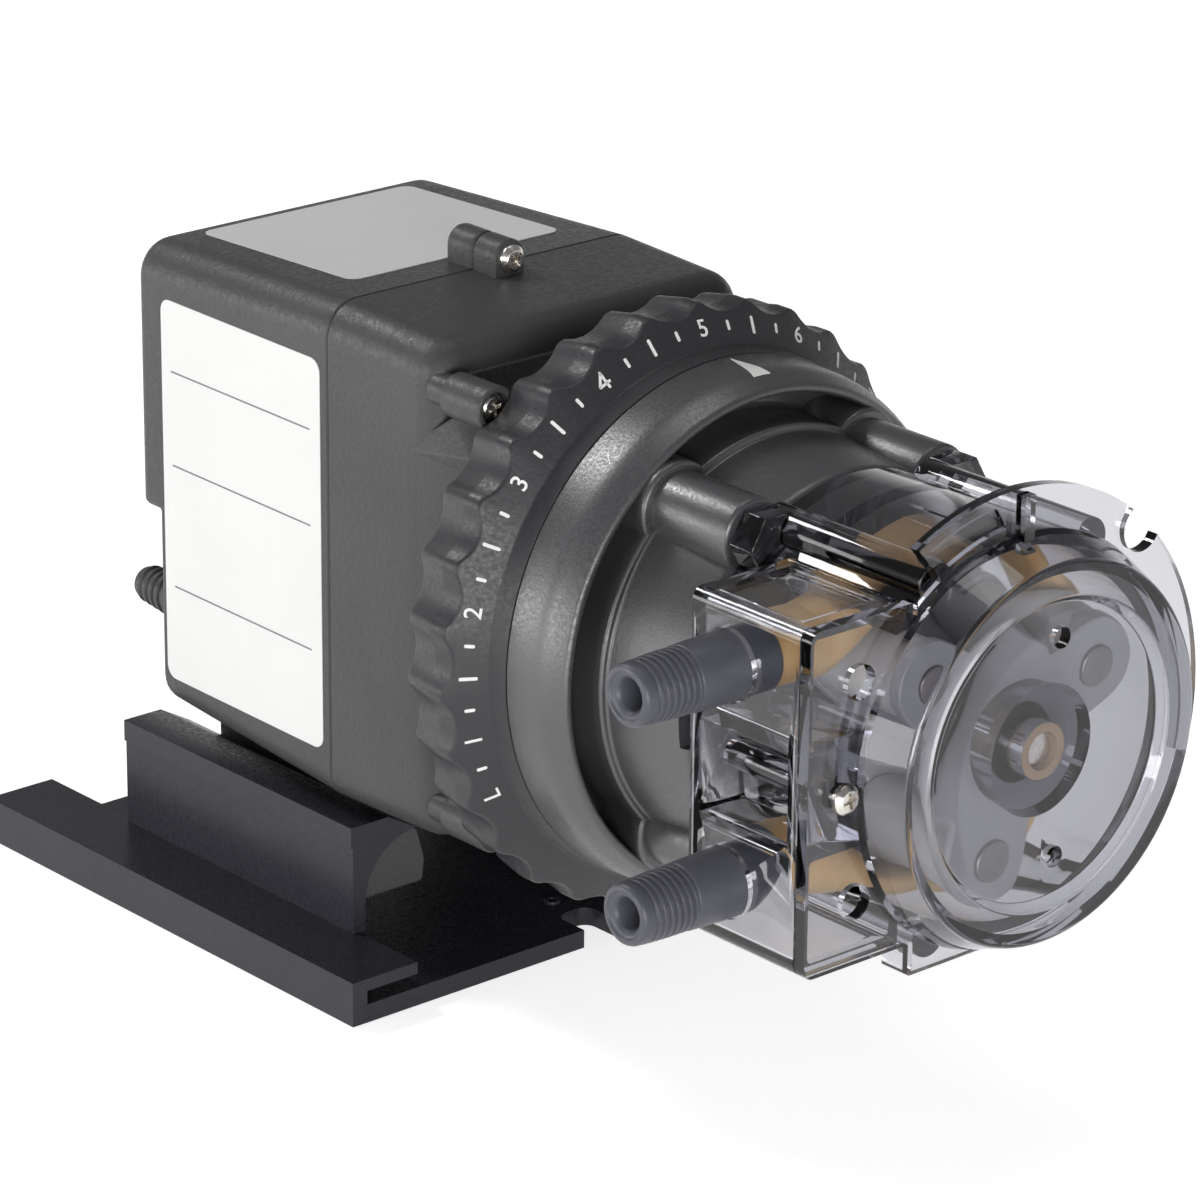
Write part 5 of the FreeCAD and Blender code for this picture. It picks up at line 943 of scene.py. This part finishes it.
TRACK_RADIUS = 38.0
TRACK_END = -55.0
CELL_BACK = -58.5
BEFORE_HOUSING = -88.0
LOBE_RADIUS = 9.4


def housing_drum():
    """Half section of the clear drum with the hollow for the bell's end behind the track."""
    outer = 43.5
    bore = 9.1
    hollow = 40.5
    return [
        (-40.3, bore), (-40.3, outer, 0.7), (HOUSING_FRONT, outer, 0.7), (HOUSING_FRONT, TRACK_RADIUS, 0.3),
        (TRACK_END, TRACK_RADIUS, 1.0), (TRACK_END, bore), (-52, bore), (-52, hollow), (-43.3, hollow),
        (-43.3, bore),
    ]


def add_caps_and_towers(body):
    """Hexagon caps over the bell's posts and the round towers in front of them."""
    cap_radius = 7.4
    for side in (-1, 1):
        for end in (-1, 1):
            post = (side * POST_X, end * POST_LEVEL)
            hexagon = [(*around(60 * k, cap_radius, post), 0.5) for k in range(6)]
            fuse(body, prism("cap", hexagon, "Y", -47.0, -40.35, "clear", bevel=0.4))
            tower = (side * 21, end * 37.5)
            fuse(body, rod("tower", tower, 4.5, HOUSING_FRONT, -41.0, "clear", bevel=0.5, segments=40))


def cut_cells(body):
    """Cells for the tube's ends, passages to the track and holes for the fittings."""
    hole = [(-60, 0), (-60, 7.7), (-53, 7.7), (-53, 0)]
    for end in (-1, 1):
        cell = oblong(-54.5, -32.5, end * 12.2, end * 34, [1.2] * 4)
        cut(body, prism("cell", cell, "Y", BEFORE_HOUSING, CELL_BACK, "clear"))
        way = [(-37, end * 28.7), (-17.8, end * 33.6), (-19, end * 19), (-37, end * 17.3)]
        cut(body, prism("passage", way, "Y", BEFORE_HOUSING, CELL_BACK, "clear"))
        cut(body, lathe("neck_hole", hole, "clear", (TUBE_PLANE, end * PORT_LEVEL), 48, axis="X"))


def cut_panels_and_bay(body):
    """Shallow panels in the block's top and underside, and the bay in its left face."""
    floor = 35.5
    beyond = 38
    panel = oblong(-53.6, -33.4, -83.6, -59.4, [0.8] * 4)
    cut(body, prism("panel", panel, "Z", -beyond, -floor, "clear"))
    cut(body, prism("panel", panel, "Z", floor, beyond, "clear"))
    bay = oblong(-84.4, CELL_BACK, -9.8, 9.8, [1.0] * 4)
    cut(body, prism("bay", bay, "X", -60, -46, "clear"))


def make_housing():
    """Clear drum and the block for the fittings as one moulding."""
    body = lathe("housing_body", housing_drum(), "clear", segments=192)
    rounds = (BLOCK_ROUND, 1.0, 1.0, BLOCK_ROUND)
    block = oblong(BLOCK_LEFT, -30, -BLOCK_HALF_HEIGHT, BLOCK_HALF_HEIGHT, rounds)
    fuse(body, prism("block", block, "Y", HOUSING_FRONT, -56, "clear", steps=6))
    add_caps_and_towers(body)
    room = [(BEFORE_HOUSING, 0), (BEFORE_HOUSING, TRACK_RADIUS), (TRACK_END, TRACK_RADIUS), (TRACK_END, 0)]
    cut(body, lathe("room", room, "clear", segments=192))
    cut_cells(body)
    cut_panels_and_bay(body)
    boss = rod("screw_boss", (HEAD_SCREW_X, 0), 3.0, HOUSING_FRONT, -58.0, "clear", bevel=0.2, segments=40)
    fuse(body, boss)
    smooth(body, 30)
    soften(body, 0.35, 2, 40)
    stands_for(body, "case", "clear_plastic", "tube_housing")


WING_MIDDLE = (-2.3, -0.7)
WING_RADIUS = 54.3
COVER_FRONT = -100.5
COVER_RADIUS = 44.0
COVER_INNER = 41.4


def sector(radius, inner, start, end, steps=48):
    """Ring sector, clockwise; its outer arc has the wing's own middle."""
    points = [around(start + (end - start) * k / steps, radius, WING_MIDDLE) for k in range(steps + 1)]
    return points + [around(end + (start - end) * k / steps, inner) for k in range(steps + 1)]


def cover_section():
    """Half section of the cover's drum: flange end, tapered wall, front ring, recessed face and hub."""
    ring = 33.1
    face = -98.3
    seat = 6.05
    hub = 13.0
    hub_end = -88.5
    inside = -95.7
    return [
        (COVER_BACK, COVER_INNER), (COVER_BACK, COVER_RADIUS, 0.3), (PLATE_FRONT, COVER_RADIUS),
        (COVER_FRONT, 40.3, 1.4), (COVER_FRONT, ring, 0.9), (face, ring - 1.6, 0.5), (face, 0), (-96.8, 0),
        (-96.8, seat), (hub_end, seat), (hub_end, hub, 0.5), (inside, hub + 1), (inside, 29.1),
        (-97.9, 33.6), (-97.9, 37.7), (PLATE_FRONT, COVER_INNER),
    ]


def cover_wing():
    """Wing of the cover's flange with its shallow window and the round bite in its edge."""
    wing = prism("wing", sector(WING_RADIUS, 43.0, 119, -15), "Y", PLATE_FRONT, COVER_BACK, "cover")
    window = sector(51.8, 46.3, 116, 96, 16)
    cut(wing, prism("window", window, "Y", PLATE_FRONT - 1, PLATE_FRONT + 1.3, "cover"))
    bite = around(47.8, 50.6)
    cut(wing, rod("bite", bite, 5.2, PLATE_FRONT - 2, PLATE_FRONT + 4, "cover", bevel=0))
    return wing


def cover_tail():
    """Tail below the drum and the lug at its left end."""
    left = -28.6
    low = -43.4
    tail = [(left, -33.5), (left, low, 0.6), (0, low), (0, -33.5)]
    lug = oblong(left, -26, low, -36.9, [0.6] * 4)
    return [
        prism("tail", tail, "Y", PLATE_FRONT, COVER_BACK, "cover"),
        prism("lug", lug, "Y", PLATE_FRONT + 0.1, -82.6, "cover"),
    ]


def make_cover():
    """Clear cover: drum, plate over the block, wing with rib, tail, and the open holes."""
    body = lathe("cover_body", cover_section(), "cover", segments=192)
    rounds = (BLOCK_ROUND, 0, 0, BLOCK_ROUND)
    plate = oblong(BLOCK_LEFT, -28.6, -BLOCK_HALF_HEIGHT, BLOCK_HALF_HEIGHT, rounds)
    fuse(body, prism("plate", plate, "Y", PLATE_FRONT, COVER_BACK, "cover"))
    fuse(body, cover_wing())
    fuse(body, prism("rib", oblong(-2.4, 0.4, 39.3, 52.8), "Y", -92.6, -89, "cover"))
    for piece in cover_tail():
        fuse(body, piece)
    through = PLATE_FRONT - 0.01
    opening = [(through, 0), (through, COVER_INNER), (-86, COVER_INNER), (-86, 0)]
    cut(body, lathe("opening", opening, "cover", segments=192))
    before = PLATE_FRONT - 2
    behind = PLATE_FRONT + 4
    for end in (-1, 1):
        cut(body, rod("hole", (3.5, end * 23.5), 2.3, -101, -94, "cover", bevel=0))
        cut(body, rod("peep", (-43.3, end * 23.2), 3.7, before, behind, "cover", bevel=0))
    cut(body, rod("screw_hole", (HEAD_SCREW_X, 0), 1.95, before, behind, "cover", bevel=0))
    smooth(body, 30)
    soften(body, 0.3, 2, 40)
    stands_for(body, "case", "clear_plastic", "tube_cover")


MOUTH = -83.0


def thread_radius(x, phase, start, end):
    """Radius of the fitting's thread, which grows from the lead and fades at both ends."""
    lead = 6.6
    crest = 6.85
    root = 6.05
    groove = max(0.0, 1.0 - abs(phase % 1.0 - 0.5) / 0.26) ** 0.8
    fade = min(1.0, (x - start + 0.1) / 0.5, (end - x + 0.1) / 0.5)
    top = lead + (crest - lead) * min(1.0, (x - start) / 6.0)
    return top - (top - root) * groove * max(fade, 0.0)


def make_fitting(name, level, node):
    """Hose fitting along X with a fine helical thread behind a plain lead, its mouth at -X."""
    start = MOUTH + 2.9
    end = MOUTH + 14.2
    pitch = 1.62
    step = 0.12
    bore = 3.1
    barb = 4.2
    shoulder = -47.0
    tip = -37.0
    stations = []
    x = start
    while x < end:
        stations.append(x)
        x += step
    before = [
        (-76.0, 0.0), (-76.0, bore), (-81.2, bore + 0.2), (-82.0, 3.7), (-82.5, 4.5), (-82.55, 4.8),
        (MOUTH, 5.0), (MOUTH, 5.7), (MOUTH + 0.3, 6.15), (MOUTH + 0.9, 6.4), (start - 0.2, 6.55),
    ]
    after = [
        (end + 0.1, 6.9), (end + 0.4, 7.0), (-60.0, 7.25), (shoulder - 0.5, 7.4), (shoulder - 0.15, 7.25),
        (shoulder, 7.0), (shoulder, barb), (tip - 0.4, barb), (tip, 3.8), (tip, bore), (-70.0, bore),
        (-70.0, 0.0),
    ]
    rings = []
    count = 96
    for k in range(count):
        thread = [(x, thread_radius(x, (x - MOUTH) / pitch - k / count, start, end)) for x in stations]
        ring = [*before, *thread, *after]
        rings.append([(x, *around(360 * k / count, radius, (TUBE_PLANE, level))) for x, radius in ring])
    body = from_rings(name, rings, "fitting", 60, close_rings=False, close_ends=True)
    stands_for(body, "case", "grey_plastic", node)


def superellipse(half_a, half_b, power, steps=40):
    """Outline between an ellipse at power 2 and a rounded oblong at higher powers."""
    points = []
    for k in range(steps):
        a = 2 * math.pi * k / steps
        u = math.copysign(abs(math.cos(a)) ** (2 / power), math.cos(a))
        v = math.copysign(abs(math.sin(a)) ** (2 / power), math.sin(a))
        points.append((half_a * u, half_b * v))
    return points


def tube_path():
    """Stations of the pump tube: middle, half thickness, half width and power of its section."""
    end_radius = 7.0
    flat_half = 2.1
    flat_width = 6.8
    flat_power = 3.2
    track = TRACK_RADIUS - 0.3 - flat_half
    wrap = 118
    bend_steps = 12
    wrap_steps = 60
    path = []
    for k in range(7):
        path.append((Vector((-46.8 + 1.7 * k, PORT_LEVEL)), end_radius, end_radius, 2.0))
    bend_from = Vector((-36.6, PORT_LEVEL))
    for k in range(1, bend_steps):
        t = k / bend_steps
        ease = t * t * (3 - 2 * t)
        thick = end_radius + (flat_half - end_radius) * ease
        wide = end_radius + (flat_width - end_radius) * ease
        middle = bend_from.lerp(around(wrap, track), t)
        path.append((middle, thick, wide, 2.0 + (flat_power - 2.0) * ease))
    upper = len(path)
    for k in range(wrap_steps + 1):
        middle = around(wrap - 2 * wrap * k / wrap_steps, track)
        path.append((middle, flat_half, flat_width, flat_power))
    path += [(Vector((p.x, -p.y)), *shape) for p, *shape in reversed(path[:upper])]
    return path


def make_tube():
    """Pump tube: round over the barbs, bent in and pressed flat round the track."""
    path = tube_path()
    rings = []
    for i, (p, thick, wide, power) in enumerate(path):
        ahead = path[min(i + 1, len(path) - 1)][0]
        along = (ahead - path[max(i - 1, 0)][0]).normalized()
        out = Vector((-along.y, along.x))
        ring = []
        for u, v in superellipse(thick, wide, power):
            q = p + out * u
            ring.append((q.x, TUBE_PLANE + v, q.y))
        rings.append(ring)
    body = from_rings("pump_tube_rubber", rings, "tube", 60, caps=True)
    stands_for(body, "case", "tan_rubber", "pump_tube")


def make_rollers():
    """Three rollers with a ring in their front face, and their pins."""
    bore = 2.55
    radius = 8.15
    front = -83.95
    back = -58.75
    wheel = [
        (front, bore, 0.2), (front, 6.2), (-83.4, 6.5), (-83.4, 7.0), (front, 7.3), (front, radius, 0.9),
        (back, radius, 0.9), (back, bore, 0.2),
    ]
    pin_radius = 2.45
    pin = [
        (-87.65, 0), (-87.65, 4.0, 0.3), (-86.85, 4.0), (-86.85, pin_radius), (-56.0, pin_radius, 0.3),
        (-56.0, 0),
    ]
    pins = []
    for index, letter in enumerate("abc"):
        place = around(FIRST_ROLLER + ROLLER_STEP * index, ROLLER_PATH)
        body = lathe(f"roller_{letter}_wheel", wheel, "white", place, 72)
        stands_for(body, f"roller_{letter}", "white_plastic", f"roller_{index + 1}")
        pins.append(lathe("roller_pin_turned", pin, "pin", place, 48))
    stands_for(join("roller_pins_turned", pins), "roller_head", "stainless", "roller_pins")


def make_carrier(name, low, high, hub_low, hub_high):
    """Carrier plate with its share of the hub that both plates make round the shaft."""
    plate = prism(name + "_plate", carrier_outline(), "Y", low, high, "carrier", bevel=0.5)
    bore = 4.1
    hub_radius = 9.0
    section = [(hub_low, bore), (hub_low, hub_radius, 0.4), (hub_high, hub_radius, 0.4), (hub_high, bore)]
    hub = lathe(name + "_hub", section, "carrier", segments=72)
    stands_for(join(name + "_moulding", [plate, hub]), "roller_head", "white_plastic", name)


def carrier_outline():
    """Three-lobed plate with smooth waists between the rollers."""
    count = 180
    waist = 19.0
    waist_limit = 23.2
    arm_half = 8.5
    raw = []
    for k in range(count):
        from_arm = (360 * k / count - FIRST_ROLLER + ROLLER_STEP / 2) % ROLLER_STEP - ROLLER_STEP / 2
        a = math.radians(abs(from_arm))
        reach = waist
        sideways = ROLLER_PATH * math.sin(a)
        if sideways < LOBE_RADIUS:
            reach = ROLLER_PATH * math.cos(a) + math.sqrt(LOBE_RADIUS**2 - sideways**2)
        elif math.sin(a) > 0:
            reach = max(reach, min(arm_half / math.sin(a), waist_limit))
        raw.append(reach)
    outline = []
    for k in range(count):
        window = [raw[(k + offset) % count] for offset in range(-3, 4)]
        outline.append(around(360 * k / count, sum(window) / len(window)))
    return outline


# Labels

LABEL_LIFT = 0.14
RULE_LIFT = 0.17
LABEL_SINK = 0.05
LABEL_ROUND = 3


def side_plate(name, corners, lift, look):
    """Plate on the left side of the case; corners are (y, z[, rounding])."""
    obj = prism(name, corners, "X", -1, 0, look, steps=6)
    for vert in obj.data.vertices:
        half = case_size(vert.co.y * 1000 + SEAM_SETBACK)[0]
        outer = vert.co.x < -0.0005
        vert.co.x = -(half + (lift if outer else -LABEL_SINK)) * 0.001
    return obj


def top_plate(name, corners, lift, look):
    """Plate on top of the case; corners are (x, y[, rounding])."""
    obj = prism(name, corners, "Z", 0, 1, look, steps=6)
    for vert in obj.data.vertices:
        top = case_size(vert.co.y * 1000 + SEAM_SETBACK)[2]
        outer = vert.co.z * 1000 - SHAFT_HEIGHT > 0.5
        vert.co.z = (top + (lift if outer else -LABEL_SINK) + SHAFT_HEIGHT) * 0.001
    return obj


def make_labels():
    """Two blank labels, the side one with three thin rules."""
    rounds = [LABEL_ROUND] * 4
    side = oblong(77.8, 136.0, -42.9, 46.8, rounds)
    pieces = [side_plate("side_label", side, LABEL_LIFT, "label")]
    for level in (30.2, 8.2, -20.6):
        rule = oblong(81.5, 132.5, level, level + 0.4)
        pieces.append(side_plate("side_rule", rule, RULE_LIFT, "rule"))
    top = oblong(-28.8, 30.5, 86, 140.5, rounds)
    pieces.append(top_plate("top_label", top, LABEL_LIFT, "label"))
    stands_for(join("blank_labels", pieces), "case", None)


# Stage, light and camera


def seen_ray(tree):
    """One for rays that come from the camera, a reflection or a clear part, and zero for light."""
    path = add(tree, "ShaderNodeLightPath")
    seen = path.outputs["Is Camera Ray"]
    for kind in ("Is Glossy Ray", "Is Transmission Ray"):
        either = add(tree, "ShaderNodeMath", operation="MAXIMUM")
        tree.links.new(seen, either.inputs[0])
        tree.links.new(path.outputs[kind], either.inputs[1])
        seen = either.outputs[0]
    return seen


def make_floor():
    """Pale matt floor that looks white and sends little light back."""
    glow_level = 0.72
    below = -0.0002
    mat, tree, shader = new_material("studio_floor")
    fill(shader, {"Roughness": 0.9, "Emission Color": (1, 1, 1, 1)})
    grain = noise(tree, 300.0)
    tree.links.new(ramp(tree, grain, 0.80, 0.84), shader.inputs["Base Color"])
    level = add(tree, "ShaderNodeMath", operation="MULTIPLY")
    level.inputs[1].default_value = glow_level
    tree.links.new(seen_ray(tree), level.inputs[0])
    tree.links.new(level.outputs[0], shader.inputs["Emission Strength"])
    bpy.ops.mesh.primitive_plane_add(size=12, location=(0, 0, below))
    floor = bpy.context.object
    floor.name = "floor"
    floor.data.materials.append(mat)


def make_world():
    """Soft even light, and a backdrop that is white at the horizon and grey overhead."""
    soft_level = 0.13
    grey = (0.22, 0.22, 0.23)
    world = bpy.data.worlds.new("studio")
    bpy.context.scene.world = world
    world.use_nodes = True
    tree = world.node_tree
    link = tree.links.new
    soft = tree.nodes["Background"]
    fill(soft, {"Color": (1, 1, 1, 1), "Strength": soft_level})
    backdrop = add(tree, "ShaderNodeBackground")
    where = add(tree, "ShaderNodeTexCoord")
    height = add(tree, "ShaderNodeSeparateXYZ")
    link(where.outputs["Generated"], height.inputs[0])
    link(ramp(tree, height.outputs["Z"], (1, 1, 1), grey, 0.06, 0.30), backdrop.inputs["Color"])
    mix = add(tree, "ShaderNodeMixShader")
    link(seen_ray(tree), mix.inputs["Fac"])
    link(soft.outputs[0], mix.inputs[1])
    link(backdrop.outputs[0], mix.inputs[2])
    link(mix.outputs[0], tree.nodes["World Output"].inputs["Surface"])


def area_lamp(name, place, size, power):
    """Rectangular lamp at a place in metres, turned to the middle of the part."""
    target = Vector((0.0, -0.06, 0.08))
    lamp = bpy.data.lights.new(name, "AREA")
    lamp.shape = "RECTANGLE"
    lamp.size = size[0]
    lamp.size_y = size[1]
    lamp.energy = power
    obj = new_object(name, lamp)
    obj.location = place
    obj.rotation_euler = (target - Vector(place)).to_track_quat("-Z", "Y").to_euler()


def make_lights():
    """Three lamps low on the left, two above."""
    area_lamp("side_left", (-1.35, 0.0, 0.22), (0.7, 0.5), 6.2)
    area_lamp("front_left", (-0.70, -1.20, 0.16), (0.8, 0.5), 14)
    area_lamp("back_left", (-1.0, 0.90, 0.12), (0.6, 0.5), 5)
    area_lamp("back_top", (-0.30, 0.75, 1.05), (0.3, 0.3), 5.5)
    area_lamp("overhead", (0.2, -0.1, 1.3), (0.5, 0.5), 1.8)


def make_camera():
    """The camera stands where the photograph's perspective puts it."""
    place = spot(-733.214, -804.404, 410.571)
    right = Vector((0.75586, -0.65469, 0.00804))
    up = Vector((0.22355, 0.26959, 0.93667))
    forward = Vector((0.61539, 0.70619, -0.35013))
    data = bpy.data.cameras.new("camera")
    data.sensor_fit = "HORIZONTAL"
    data.sensor_width = 36.0
    data.lens = 165.0
    data.clip_start = 0.05
    data.clip_end = 30.0
    camera = new_object("camera", data)
    turn = Matrix((right, up, -forward)).transposed()
    camera.matrix_world = Matrix.Translation(place) @ turn.to_4x4()
    bpy.context.scene.camera = camera


make_bracket()
make_foot()
make_front_case()
make_rear_case()
make_screws()
make_gland()
make_dial()
make_dial_marks()
make_bell()
make_housing()
make_cover()
make_fitting("discharge_fitting", PORT_LEVEL, "fitting_discharge")
make_fitting("suction_fitting", -PORT_LEVEL, "fitting_suction")
make_tube()
make_rollers()
make_carrier("roller_carrier_front", -86.85, -84.05, -86.85, -71.4)
make_carrier("roller_carrier_rear", -58.65, -55.9, -71.3, -55.9)
make_labels()
make_floor()
make_world()
make_lights()
make_camera()
bpy.context.scene.view_settings.view_transform = "Standard"
